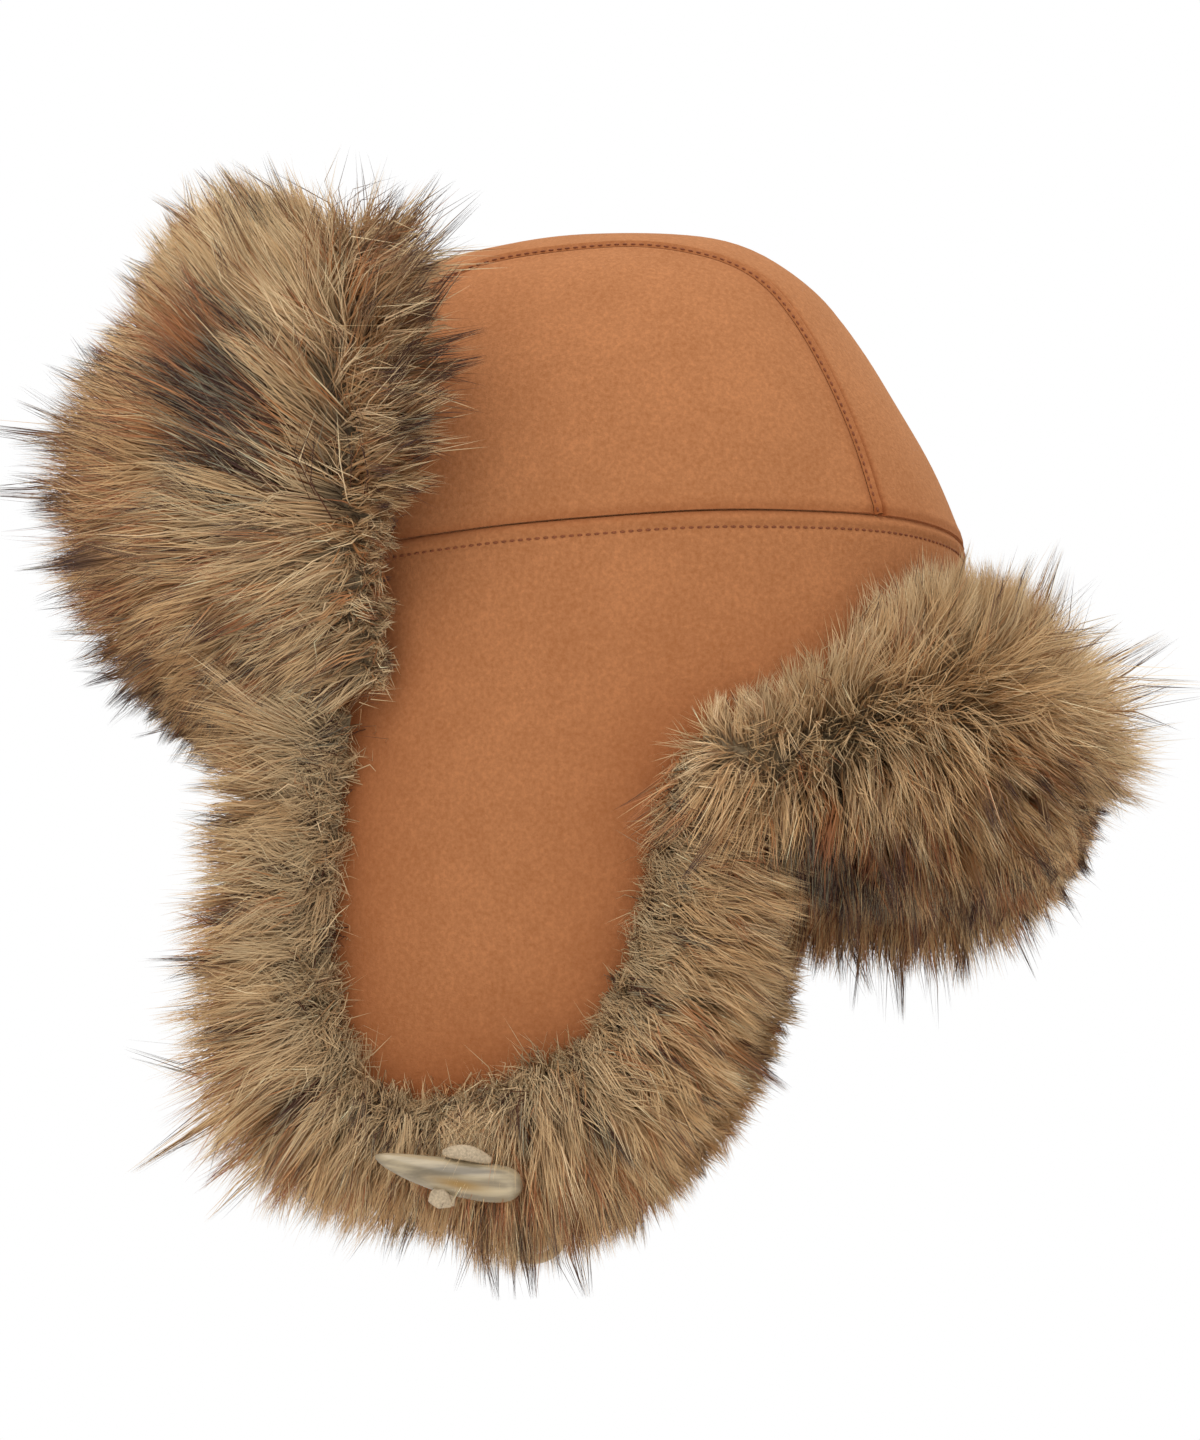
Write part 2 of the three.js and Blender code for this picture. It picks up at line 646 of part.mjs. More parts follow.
// A flat rounded leather end: it lies along the toggle's outside, from a place in its frame
function leaf(from, to, wide, thick) {
  const hold = toggleFrame();
  const place = (at) => {
    const p = hold.middle.clone().addScaledVector(hold.along, at.along);
    return p.addScaledVector(hold.up, at.up).addScaledVector(hold.out, at.out);
  };
  const [a, b] = [place(from), place(to)];
  const course = b.clone().sub(a);
  const across = course.clone().cross(hold.out).normalize();
  const deep = course.clone().cross(across).normalize();
  const shape = [0.35, 0.9, 1, 0.8, 0.25];
  const rings = shape.map((size, i) => {
    const p = a.clone().addScaledVector(course, i / (shape.length - 1));
    return Array.from({ length: 6 }, (_, k) => {
      const turn = (k * PI) / 3;
      const q = p.clone().addScaledVector(across, (wide / 2) * size * cos(turn));
      return q.addScaledVector(deep, (thick / 2) * size * sin(turn));
    });
  });
  return sweep(rings);
}

// The thong: the strap, its stretch through the hole, the knot on top and the tail below
function thong() {
  const knot = leaf({ along: -4.5, up: 7.6, out: 1.5 }, { along: 11, up: 7.4, out: 1.5 }, 5, 4);
  const tail = leaf({ along: -7, up: -6.4, out: 0.5 }, { along: 2, up: -10, out: 0.5 }, 6.5, 2);
  return fuse([strap(0), stem(0, 7.5), knot, tail]);
}

// The right flap's loop: the same strap, ending in a ring of cord
function closureLoop() {
  const ring = fromGeometry(new THREE.TorusGeometry(LOOP.radius, LOOP.cord, 6, 14).rotateY(PI / 2));
  const middle = holePlace(5 - LOOP.radius);
  return mirrored(fuse([strap(0), ring.translate(middle.toArray())]));
}

// The space that the fur leaves for the toggle and its thong
function closureRoom() {
  const spare = 2 * GAP;
  const rings = [0, 0.25, 0.5, 0.75, 0.92, 1].map((share) => toggleRing(share, spare + 1.5, 8));
  return [sweep(rings), strap(spare), stem(spare, 9), thong()];
}

const pieces = {
  ...crownPanels(),
  side_panel_left: sidePanel(),
  side_panel_right: mirrored(sidePanel()),
  front_flap_backing: visorBacking(),
  front_flap_fur: visorFur(),
  ear_trim_left: trimmedEarFur(),
  ear_trim_right: mirrored(trimmedEarFur()),
  neck_trim: neckFur(),
  toggle: toggle(),
  toggle_thong: thong(),
  closure_loop: closureLoop(),
};

const LOOK_OF = {
  front_flap_fur: "fur",
  ear_trim_left: "fur",
  ear_trim_right: "fur",
  neck_trim: "fur",
  toggle: "horn",
  toggle_thong: "leather",
  closure_loop: "leather",
};

function meshOf(name, solid) {
  const { vertProperties, triVerts } = solid.getMesh();
  const geometry = new THREE.BufferGeometry();
  geometry.setAttribute("position", new THREE.BufferAttribute(vertProperties, 3));
  geometry.setIndex(new THREE.BufferAttribute(triVerts, 1));
  const look = LOOKS[LOOK_OF[name] ?? "suede"];
  const { colour: color, roughness } = look;
  const material = new THREE.MeshStandardMaterial({ color, roughness, metalness: 0 });
  const mesh = new THREE.Mesh(geometry, material);
  mesh.name = name;
  return mesh;
}

const hat = new THREE.Group();
for (const [name, solid] of Object.entries(pieces)) hat.add(meshOf(name, solid));

export default hat;
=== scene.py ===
"""An aviator hat: smooth suede panels, long faux fur, stitching, a horn toggle and the stage."""

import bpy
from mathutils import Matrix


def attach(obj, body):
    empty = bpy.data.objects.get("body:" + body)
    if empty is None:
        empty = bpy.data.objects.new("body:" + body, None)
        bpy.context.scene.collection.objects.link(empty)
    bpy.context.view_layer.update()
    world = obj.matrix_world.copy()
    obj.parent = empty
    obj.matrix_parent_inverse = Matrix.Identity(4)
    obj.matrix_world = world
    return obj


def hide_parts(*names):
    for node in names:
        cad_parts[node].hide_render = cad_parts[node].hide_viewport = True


bl_info = {
    "name": "Aviator Hat",
    "version": (1, 0, 0),
    "blender": (4, 5, 0),
    "location": "3D View > Sidebar > Hat",
    "description": "Builds the suede, fur, stitching and toggle of an aviator hat round its packed frame",
    "category": "Object",
}

import bpy
import numpy as np
from mathutils import Vector

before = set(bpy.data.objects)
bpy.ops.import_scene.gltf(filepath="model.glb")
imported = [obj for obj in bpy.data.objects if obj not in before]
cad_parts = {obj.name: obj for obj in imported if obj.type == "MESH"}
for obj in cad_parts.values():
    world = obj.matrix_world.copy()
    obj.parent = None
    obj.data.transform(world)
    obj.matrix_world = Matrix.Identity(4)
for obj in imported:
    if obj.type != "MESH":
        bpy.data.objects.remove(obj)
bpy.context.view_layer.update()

# The hat's sizes in metres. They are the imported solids' own, but for the centre strip, whose
# seams run up to 5.6 mm nearer the middle
CLOTH = 0.0025
RIM = {"side": 0.086, "front": 0.104, "back": 0.102}
SEAM = {"side": 0.0845, "front": 0.101, "back": 0.099}
SEAM_HEIGHT = 0.042
SEAM_PITCH = 0.06
CROWN_TOP = 0.140
ROUNDNESS = 2.15
STRIP = {"middle": 0.0425, "ends": 0.0205, "from": 0.030, "to": 0.086, "bend": 1.5}
FLAP = {"depth": 0.118, "middle": 78.5, "half": 30.5, "squareness": 3.6, "lean": 0.12, "tuck": 0.012}
FRONT_RIM = -0.002
NAPE = {"drop": 0.030, "flare": 0.015, "from": 118.0, "full": 152.0, "above": 0.022}
VISOR = {
    "half": 56.0,
    "bottom": -0.001,
    "top": 0.118,
    "side": 0.112,
    "lift": 0.001,
    "lean": 0.010,
    "corner": 6,
}
FUR_PARTING = -0.006
# The air between the suede and the body under the fur that laps round it
SLOT = 0.0007
# How long a degree round the hat is taken to be in a hem's flat chart
TURN_LENGTH = 0.0016
# A place inside the hat that its faces look away from
INSIDE = (0.0, 0.0, 0.02)

# Each row is a section of the crown, as shares of its height and of the seam's half sizes
CROWN_SECTIONS = {
    "rise": (0.0, 0.22, 0.43, 0.61, 0.77, 0.885, 0.955, 0.99, 1.0),
    "side": (1.0, 0.98, 0.915, 0.81, 0.665, 0.48, 0.305, 0.155, 0.0),
    "front": (1.0, 0.985, 0.95, 0.88, 0.775, 0.635, 0.465, 0.25, 0.0),
    "back": (1.0, 0.912, 0.812, 0.715, 0.608, 0.478, 0.342, 0.18, 0.0),
}

# The relief beside a seam: how a panel's edge rolls in, the ridge beside it and the pressed line
BAND_RELIEF = {"roll": 0.0010, "ridge": 0.0004, "ridge_at": 0.0026, "line": 0.0004, "line_at": 0.0048}
STRIP_RELIEF = {"roll": 0.0005, "ridge": 0.0011, "ridge_at": 0.0019, "line": 0.0013, "line_at": 0.0034}
PLAIN_RELIEF = {"roll": 0.0004, "ridge": 0.0002, "ridge_at": 0.0026, "line": 0.0, "line_at": 0.0048}
ROLL_REACH, LINE_REACH = 0.0013, 0.0009
PANEL_GAP = 0.00008
# How far from a seam its row of stitches is
SEWN_AT = {"band": 0.0048, "strip": 0.0006}
# Distances from an edge at which a panel has rows of points: across the strip, and from any edge
STRIP_COLUMNS = (0.0, 0.0004, 0.0009, 0.0014, 0.0019, 0.0024, 0.0028, 0.0031, 0.0034, 0.0037, 0.0041, 0.0046)
STRIP_COLUMNS += (0.0052, 0.0059, 0.0067, 0.0076, 0.009, 0.011, 0.014, 0.0175, 0.0215, 0.026, 0.031, 0.0365)
FINE_ROWS = (0.0, 0.0004, 0.0009, 0.0014, 0.002, 0.0026, 0.0033)
FINE_ROWS += (0.004, 0.0048, 0.0056, 0.0066, 0.0082, 0.0105, 0.0135)
# How many points a line along the strip has, and how many columns a crown side has
LINE_POINTS = 420
SIDE_COLUMNS = 118

# The toggle's place round the hat, height, distance off the suede and slope. hole and middle are
# shares of its length. Its sections run from its thin tip to its wide end.
TOGGLE = {
    "length": 0.0395,
    "turn": 82.2,
    "height": -0.130,
    "standoff": 0.024,
    "slope": -9.5,
    "hole": 0.52,
    "middle": 0.55,
}
TOGGLE_SECTIONS = {
    "along": (0.0, 0.05, 0.22, 0.45, 0.72, 0.88, 0.96, 1.0),
    "rise": (0.0020, 0.0016, 0.0007, 0.0, -0.0001, 0.0001, 0.0003, 0.0004),
    "tall": (0.0010, 0.0034, 0.0066, 0.0092, 0.0104, 0.0098, 0.0076, 0.0022),
    "deep": (0.0010, 0.0032, 0.0062, 0.0084, 0.0094, 0.0090, 0.0068, 0.0020),
}
THONG = {"width": 0.0045, "thick": 0.002, "root": -0.107}
LOOP = {"radius": 0.0095, "cord": 0.0015}

CAMERA = {
    "azimuth": 96.0,
    "elevation": -9.0,
    "distance": 1.3,
    "lens": 114.1,
    "target": (0.0006, -0.0057, 0.0),
}
FLOOR_HEIGHT = -0.45
SKY_LIGHT = 0.78


def spline(a, b, c, d, t):
    """A smooth curve from b to c that heeds a and d, for t from 0 to 1."""
    return b + 0.5 * t * (c - a + t * (2 * a - 5 * b + 4 * c - d + t * (3 * b - a - 3 * c + d)))


def column(table, name, u):
    """One column of a table of equal steps, smooth between its rows, for u from 0 to 1."""
    values = np.asarray(table[name], float)
    place = np.clip(u, 0, 1) * (len(values) - 1)
    i = np.minimum(place.astype(int), len(values) - 2)
    a, b, c, d = (values[np.clip(i + k, 0, len(values) - 1)] for k in (-1, 0, 1, 2))
    return spline(a, b, c, d, place - i)


def smooth(x, low, high):
    """A soft step from 0 at low to 1 at high."""
    t = np.clip((x - low) / (high - low), 0, 1)
    return t * t * (3 - 2 * t)


def unit(v):
    return v / np.maximum(np.linalg.norm(v, axis=-1, keepdims=True), 1e-12)


def length_along(curve):
    """How far along a curve each of its points is."""
    steps = np.linalg.norm(np.diff(curve, axis=0), axis=1)
    return np.concatenate([[0], np.cumsum(steps)])


def oval(turn, side, front, back, height):
    """Points of an oval section. turn is in degrees from the front towards the wearer's left."""
    s = np.sin(np.radians(turn))
    c = np.cos(np.radians(turn))
    x = side * np.sign(s) * np.abs(s) ** (2 / ROUNDNESS)
    y = -np.where(c > 0, front, back) * np.sign(c) * np.abs(c) ** (2 / ROUNDNESS)
    return np.stack(np.broadcast_arrays(x, y, height), -1)


def seam_height(y):
    """The height of the band seam, which rises towards the back."""
    return SEAM_HEIGHT + SEAM_PITCH * y


def crown_point(turn, u):
    """The crown's outer surface, for u from 0 at the band seam to 1 at the top."""
    side, front, back, rise = (column(CROWN_SECTIONS, name, u) for name in ("side", "front", "back", "rise"))
    p = oval(turn, SEAM["side"] * side, SEAM["front"] * front, SEAM["back"] * back, 0.0)
    foot = seam_height(oval(turn, SEAM["side"], SEAM["front"], SEAM["back"], 0.0)[..., 1])
    p[..., 2] = foot + (CROWN_TOP - foot) * rise
    return p


def signed_turn(turn):
    return np.where(turn > 180, turn - 360, turn)


def wall_point(turn, height):
    """The outer surface of the side panels, below the band seam and down the ear flaps."""
    turn, height = np.broadcast_arrays(np.asarray(turn, float), np.asarray(height, float))
    up = np.clip(height / SEAM_HEIGHT, 0, 1.2)
    down = np.maximum(-height, 0)
    tuck = FLAP["tuck"] * (down / FLAP["depth"]) ** 2
    nape = smooth(np.abs(signed_turn(turn)), NAPE["from"], NAPE["full"])
    fall = np.clip((NAPE["above"] - height) / (NAPE["above"] + NAPE["drop"]), 0, 1.4)
    out = NAPE["flare"] * nape * fall**1.5
    size = {name: RIM[name] + (SEAM[name] - RIM[name]) * up + out for name in RIM}
    p = oval(turn, size["side"] - tuck, size["front"], size["back"], height)
    p[..., 1] -= FLAP["lean"] * down * (1 - nape)
    return p


def hem_height(turn, half=FLAP["half"]):
    """The hem's height: the front rim, the ear flap's rounded outline and the nape."""
    across = np.abs((np.abs(turn) - FLAP["middle"]) / half)
    level = np.where(np.abs(turn) < FLAP["middle"], FRONT_RIM, -NAPE["drop"])
    n = FLAP["squareness"]
    lobe = -FLAP["depth"] * np.clip(1 - across**n, 0, 1) ** (1 / n)
    return np.minimum(level, lobe)


def visor_point(turn, share):
    """The front flap's outer surface, turned up in front of the crown."""
    corner = np.maximum(1 - (np.abs(turn) / VISOR["half"]) ** VISOR["corner"], 0)
    top = VISOR["side"] + (VISOR["top"] - VISOR["side"]) * corner
    height = VISOR["bottom"] + (top - VISOR["bottom"]) * share
    out = VISOR["lift"] + CLOTH + VISOR["lean"] * np.sin(share * np.pi / 2)
    return oval(turn, RIM["side"] + out, RIM["front"] + out, RIM["back"] + out, height)


def normal_of(surface, a, b, da=0.5, db=0.0005):
    """A surface's outward normal, from places a step to either side."""
    along = surface(a + da, b) - surface(a - da, b)
    up = surface(a, b + db) - surface(a, b - db)
    return unit(np.cross(along, up))


def raised(surface, a, b, height, db=0.0005):
    """A surface's point, moved out along its normal."""
    return surface(a, b) + normal_of(surface, a, b, 0.5, db) * np.asarray(height)[..., None]


def strip_half_width(y):
    """Half the centre strip's width: narrow on top and wide at both ends."""
    out = np.clip((np.abs(y) - STRIP["from"]) / (STRIP["to"] - STRIP["from"]), 0, 1.1)
    return STRIP["middle"] + STRIP["ends"] * out ** STRIP["bend"]


def bisect(inside, low, high, rounds=40):
    """Where inside(value) turns from true to false between low and high, element by element."""
    low, high = np.array(low, float), np.array(high, float)
    for _ in range(rounds):
        middle = (low + high) / 2
        keep = inside(middle)
        low = np.where(keep, middle, low)
        high = np.where(keep, high, middle)
    return (low + high) / 2


def gentle_waves(p):
    """Slow dents and swells of soft cloth, as a height for each point."""
    x, y, z = (p[..., k] for k in range(3))
    waves = np.sin(61 * x + 93 * z + 0.7) * np.sin(47 * y + 31 * z + 2.1)
    return waves + 0.6 * np.sin(118 * y - 77 * z + 1.3) * np.sin(89 * x + 23 * y)


def distance_to(points, line):
    """Each point's distance to the nearest point of a dense line."""
    flat = points.reshape(-1, 3)
    found = [np.sqrt(((part[:, None] - line[None]) ** 2).sum(-1).min(1)) for part in np.array_split(flat, 24)]
    return np.concatenate(found).reshape(points.shape[:-1])


def seam_relief(distance, shape):
    """The height of a panel's face at a distance from a seam of this shape."""
    roll = -shape["roll"] * np.exp(-((distance / ROLL_REACH) ** 2))
    ridge = shape["ridge"] * np.exp(-(((distance - shape["ridge_at"]) / ROLL_REACH) ** 2))
    line = -shape["line"] * np.exp(-(((distance - shape["line_at"]) / LINE_REACH) ** 2))
    return roll + ridge + line


def resampled(curve, rows):
    """A dense curve at chosen shares of its length. Columns past x, y and z go along with it."""
    length = length_along(curve[:, :3])
    return np.stack([np.interp(rows * length[-1], length, values) for values in curve.T], -1)


def rows_for(length, both_ends, middle):
    """Shares of a length that are close together near its edges and even between them."""
    fine = np.asarray(FINE_ROWS) / length
    fine *= min(1.0, 0.35 / fine[-1])
    end = 1 - fine[::-1] if both_ends else np.array([1.0])
    between = np.linspace(fine[-1], end[0], middle + 2)[1:-1]
    return np.concatenate([fine, between, end])


def strip_line(s):
    """A line over the crown, from front to back, at a share s of the centre strip's half width."""
    line = crown_point(*strip_course(s, LINE_POINTS))
    line[:, 0] *= 1 if s >= 0 else -1
    return line


def strip_course(s, count):
    """The turns and heights of such a line's points, on the left half of the crown."""
    width = abs(s) * STRIP["middle"]
    top = bisect(lambda u: column(CROWN_SECTIONS, "side", u) * SEAM["side"] > max(width, 1e-5), 0.0, 1.0)
    u = top * np.sin(np.linspace(0, np.pi / 2, count))
    turns = []
    for first in (0.0, 180.0):
        to_middle = np.full(count, 90.0)

        def short_of(turn):
            p = crown_point(turn, u)
            return p[..., 0] < abs(s) * strip_half_width(p[..., 1])

        turns.append(bisect(short_of, np.full(count, first), to_middle))
    return np.concatenate([turns[0], turns[1][::-1][1:]]), np.concatenate([u, u[::-1][1:]])


def deselect_all():
    bpy.ops.object.select_all(action="DESELECT")


def select_only(piece):
    deselect_all()
    piece.select_set(True)
    bpy.context.view_layer.objects.active = piece


def added_piece(name):
    """The primitive that was just added, under its own name."""
    piece = bpy.context.object
    piece.name = piece.data.name = name
    return piece


def edit_all(operator, **settings):
    """Runs a mesh operator on all of the active piece."""
    bpy.ops.object.mode_set(mode="EDIT")
    bpy.ops.mesh.select_all(action="SELECT")
    operator(**settings)
    bpy.ops.object.mode_set(mode="OBJECT")


def move_points(mesh, points):
    mesh.vertices.foreach_set("co", points.reshape(-1).astype(np.float32))
    mesh.update()


def grid_object(name, points):
    """A grid primitive, shaped by a table of points, whose faces look away from the hat's middle."""
    rows, columns = points.shape[:2]
    deselect_all()
    bpy.ops.mesh.primitive_grid_add(x_subdivisions=columns - 1, y_subdivisions=rows - 1, size=1.0)
    piece = added_piece(name)
    move_points(piece.data, points)
    edit_all(bpy.ops.mesh.remove_doubles, threshold=1e-6)
    face_outwards(piece.data)
    return piece


def face_outwards(mesh):
    """Turns an open shell round if its faces look towards the hat's inside."""
    count = len(mesh.polygons)
    normals, centres, areas = (np.empty(count * k) for k in (3, 3, 1))
    mesh.polygons.foreach_get("normal", normals)
    mesh.polygons.foreach_get("center", centres)
    mesh.polygons.foreach_get("area", areas)
    away = centres.reshape(-1, 3) - INSIDE
    if ((normals.reshape(-1, 3) * away).sum(1) * areas).sum() < 0:
        mesh.flip_normals()


def apply_modifier(piece, kind, **settings):
    select_only(piece)
    modifier = piece.modifiers.new(kind.title(), kind)
    for key, value in settings.items():
        setattr(modifier, key, value)
    bpy.ops.object.modifier_apply(modifier=modifier.name)


def smooth_shade(piece, degrees=40):
    select_only(piece)
    bpy.ops.object.shade_smooth_by_angle(angle=np.radians(degrees))


def settle(piece, material_name, slot_name, *nodes):
    """Gives a finished piece its material and its body, and hides the nodes that it stands for. slot_name is
    not used.
    """
    piece.data.materials.clear()
    piece.data.materials.append(bpy.data.materials[material_name])
    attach(piece, "root")
    if nodes:
        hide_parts(*nodes)


def set_attribute(piece, name, values):
    attribute = piece.data.attributes.new(name, "FLOAT", "POINT")
    attribute.data.foreach_set("value", values.reshape(-1).astype(np.float32))


def suede_panel(name, points, normals, relief, wear_and_shade, *nodes):
    """A suede panel with its relief, a darkness near its edges, partly wear and partly painted shade, and the
    cloth's thickness.
    """
    shaped = points + normals * relief[..., None]
    piece = grid_object(name, shaped)
    if len(piece.data.vertices) != wear_and_shade.size:
        kept = np.empty(len(piece.data.vertices) * 3, np.float32)
        piece.data.vertices.foreach_get("co", kept)
        wear_and_shade = nearest_values(kept.reshape(-1, 3), shaped.reshape(-1, 3), wear_and_shade.reshape(-1))
    set_attribute(piece, "wear_and_shade", wear_and_shade)
    apply_modifier(piece, "SOLIDIFY", thickness=CLOTH, offset=-1.0, use_quality_normals=True)
    smooth_shade(piece)
    settle(piece, "brushed_suede", "suede", *nodes)


def nearest_values(places, known, values):
    """The value of the nearest known place, for each place."""
    order = [((part[:, None] - known[None]) ** 2).sum(-1).argmin(1) for part in np.array_split(places, 40)]
    return values[np.concatenate(order)]


def grid_normals(points):
    """Normals of a grid of points, pointing away from the hat's middle."""
    across = np.gradient(points, axis=1)
    down = np.gradient(points, axis=0)
    normal = unit(np.cross(across, down))
    away = points - INSIDE
    return normal * np.sign((normal * away).sum(-1, keepdims=True) + 1e-12)


def wear_and_shade_of(*distances):
    """How dark the nap is from wear and painted shade near edges, from 0 to 1. Each row is a distance from an
    edge, a weight and a reach.
    """
    return np.clip(sum(weight * np.exp(-distance / reach) for distance, weight, reach in distances), 0, 1)


def band_line(below=0.0, count=1400):
    """The band seam all round the hat, or a line on the wall below it."""
    turn = np.linspace(-180, 180, count)
    y = wall_point(turn, SEAM_HEIGHT)[..., 1]
    return wall_point(turn, seam_height(y) - below)


def make_crown(sizes):
    """The centre strip and both sides of the crown."""
    seams = {1: strip_line(1.0), -1: strip_line(1.0) * (-1, 1, 1)}
    band = band_line()
    right = 1 - np.array(STRIP_COLUMNS) / STRIP["middle"]
    shares = np.concatenate([-right, [0.0], right[::-1]]) * (1 - PANEL_GAP / STRIP["middle"])
    rows = rows_for(0.36, True, 76)
    grid = np.stack([resampled(strip_line(share), rows) for share in shares], 1)
    to_band = distance_to(grid, band)
    to_seam = np.minimum(distance_to(grid, seams[1]), distance_to(grid, seams[-1]))
    relief = seam_relief(to_seam, STRIP_RELIEF) + seam_relief(to_band, PLAIN_RELIEF)
    relief += sizes.softness * gentle_waves(grid)
    # Darker nap near the strip's seams and the band, partly wear and partly painted shade, and along the
    # pressed line beyond the ridge, painted shade in its groove
    beyond_ridge = np.abs(to_seam - STRIP_RELIEF["line_at"])
    wear_and_shade = wear_and_shade_of((to_seam, 0.45, 0.0016), (beyond_ridge, 0.9, 0.0008), (to_band, 0.6, 0.003))
    suede_panel("crown_centre_strip_suede", grid, grid_normals(grid), relief, wear_and_shade, "crown_centre_strip")
    for side, word in ((1, "left"), (-1, "right")):
        make_crown_side(side, word, seams[side], band, sizes)


def make_crown_side(side, word, seam, band, sizes):
    """A side of the crown: columns run from the band seam up to places along the strip's seam."""
    turn, u = strip_course(1 + PANEL_GAP / STRIP["middle"], 900)
    course = np.stack([*crown_point(turn, u).T, turn, u], -1)
    turn, u = resampled(course, np.linspace(0, 1, SIDE_COLUMNS))[:, 3:].T
    even = np.linspace(turn[0], turn[-1], SIDE_COLUMNS)
    foot = 0.5 * np.maximum.accumulate(np.minimum(turn, turn[-1])) + 0.5 * even
    up = np.linspace(0, 1, 160)
    columns = []
    for k in range(SIDE_COLUMNS):
        low = min(0.0015, 0.5 * u[k])
        turns, heights = foot[k] + (turn[k] - foot[k]) * up, low + (u[k] - low) * up
        dense = np.stack([*crown_point(turns, heights).T, turns, heights], -1)
        columns.append(resampled(dense, rows_for(0.12, True, 14)))
    table = np.stack(columns, 1)
    grid = table[..., :3] * (side, 1, 1)
    normals = normal_of(crown_point, table[..., 3], table[..., 4]) * (side, 1, 1)
    to_band, to_seam = distance_to(grid, band), distance_to(grid, seam)
    relief = seam_relief(to_seam, PLAIN_RELIEF) + seam_relief(to_band, PLAIN_RELIEF)
    relief += sizes.softness * gentle_waves(grid)
    # Darker nap near the strip's seam and the band seam, partly wear and partly painted shade
    wear_and_shade = wear_and_shade_of((to_seam, 0.6, 0.0022), (to_band, 0.5, 0.0018))
    suede_panel(f"crown_side_{word}_suede", grid, normals, relief, wear_and_shade, f"crown_side_{word}")


def make_side_panels(sizes):
    """Band, ear flap and half of the neck flap, each side in one piece of suede."""
    half = FLAP["half"]
    flap = FLAP["middle"] + half * 0.9995 * np.sin(np.linspace(-1, 1, 61) * np.pi / 2)
    ahead = np.linspace(0.02, FLAP["middle"] - half - 1.2, 26)
    behind = np.linspace(FLAP["middle"] + half + 1.2, 179.98, 34)
    turns = np.concatenate([ahead, flap, behind])
    top = seam_height(wall_point(turns, SEAM_HEIGHT)[..., 1]) - 0.0003
    hem = hem_height(turns)
    rows = rows_for(0.09, False, 30)
    heights = top[None] + (hem - top)[None] * rows[:, None]
    grid = wall_point(turns[None], heights)
    edge = wall_point(turns, hem)
    for side, word in ((1, "left"), (-1, "right")):
        points = grid * (side, 1, 1)
        to_band = distance_to(points, band_line())
        to_hem = distance_to(points, resampled(edge * (side, 1, 1), np.linspace(0, 1, 900)))
        calm = smooth(to_hem, 0.006, 0.022)
        relief = seam_relief(to_band, BAND_RELIEF) + sizes.softness * calm * gentle_waves(points)
        # Darker nap near the band seam, partly wear and partly painted shade, and far up from the hem,
        # painted shade beside and under the fur
        wear_and_shade = wear_and_shade_of((to_band, 0.5, 0.0018), (to_hem, 0.9, 0.021))
        name = f"side_panel_{word}"
        suede_panel(f"{name}_suede", points, grid_normals(points), relief, wear_and_shade, name)


def make_visor_backing(sizes):
    """The suede of the turned-up front flap, darker and flat along its border."""
    turn = np.linspace(-VISOR["half"], VISOR["half"], 80)[None]
    share = np.linspace(0, 1, 44)[:, None]
    grid = visor_point(turn, share)
    shares = np.maximum(np.abs(turn) / VISOR["half"], np.abs(2 * share - 1))
    wear_and_shade = 0.8 * smooth(shares, 0.85, 1.0)
    normals = grid_normals(grid)
    relief = 0.4 * sizes.softness * gentle_waves(grid) * (1 - smooth(shares, 0.8, 1.0))
    suede_panel("front_flap_backing_suede", grid, normals, relief, wear_and_shade, "front_flap_backing")


def make_stitching(sizes):
    """Rows of short stitches: below the band seam and along both edges of the centre strip."""
    rows = [("band_stitching", band_line(SEWN_AT["band"]), seam_relief(SEWN_AT["band"], BAND_RELIEF))]
    share = 1 - SEWN_AT["strip"] / STRIP["middle"]
    depth = seam_relief(SEWN_AT["strip"], STRIP_RELIEF)
    for side, word in ((1, "left"), (-1, "right")):
        rows.append((f"strip_stitching_{word}", strip_line(side * share), depth))
    for name, line, relief in rows:
        count = int(length_along(line)[-1] / sizes.stitch_pitch)
        places = resampled(line, (np.arange(count) + 0.5) / count)
        add_stitches(name, places, relief, sizes)


def add_stitches(name, places, relief, sizes):
    """Copies of one small rounded stitch along a line, in one piece."""
    along = unit(np.gradient(places, axis=0))
    across = unit(np.cross(unit(places - INSIDE), along))
    outward = np.cross(along, across)
    deselect_all()
    bpy.ops.mesh.primitive_uv_sphere_add(segments=8, ring_count=5, radius=0.5)
    piece = added_piece(name)
    mesh = piece.data
    ball = np.empty(len(mesh.vertices) * 3)
    mesh.vertices.foreach_get("co", ball)
    ball = ball.reshape(-1, 3) * (sizes.stitch_length, sizes.stitch_width, sizes.stitch_width * 0.8)
    axes = np.stack([along, across, outward], 1)
    height = sizes.softness * gentle_waves(places) + relief + sizes.stitch_width * 0.22
    centres = places + outward * height[:, None]
    points = centres[:, None] + np.einsum("vk,skj->svj", ball, axes)
    faces = [list(face.vertices) for face in mesh.polygons]
    sides = np.array([len(face) for face in faces])
    corners = np.concatenate(faces)[None] + (np.arange(len(places)) * len(ball))[:, None]
    replace_mesh(mesh, points.reshape(-1, 3), np.tile(sides, len(places)), corners.reshape(-1))
    smooth_shade(piece, 60)
    settle(piece, "sewing_thread", "stitching")


def replace_mesh(mesh, points, face_sizes, corners):
    """Fills a mesh with new points and faces, given as face sizes and corner numbers."""
    mesh.clear_geometry()
    mesh.vertices.add(len(points))
    mesh.vertices.foreach_set("co", points.reshape(-1).astype(np.float32))
    mesh.loops.add(len(corners))
    mesh.loops.foreach_set("vertex_index", corners.astype(np.int32))
    mesh.polygons.add(len(face_sizes))
    starts = np.concatenate([[0], np.cumsum(face_sizes)[:-1]])
    mesh.polygons.foreach_set("loop_start", starts.astype(np.int32))
    mesh.update(calc_edges=True)


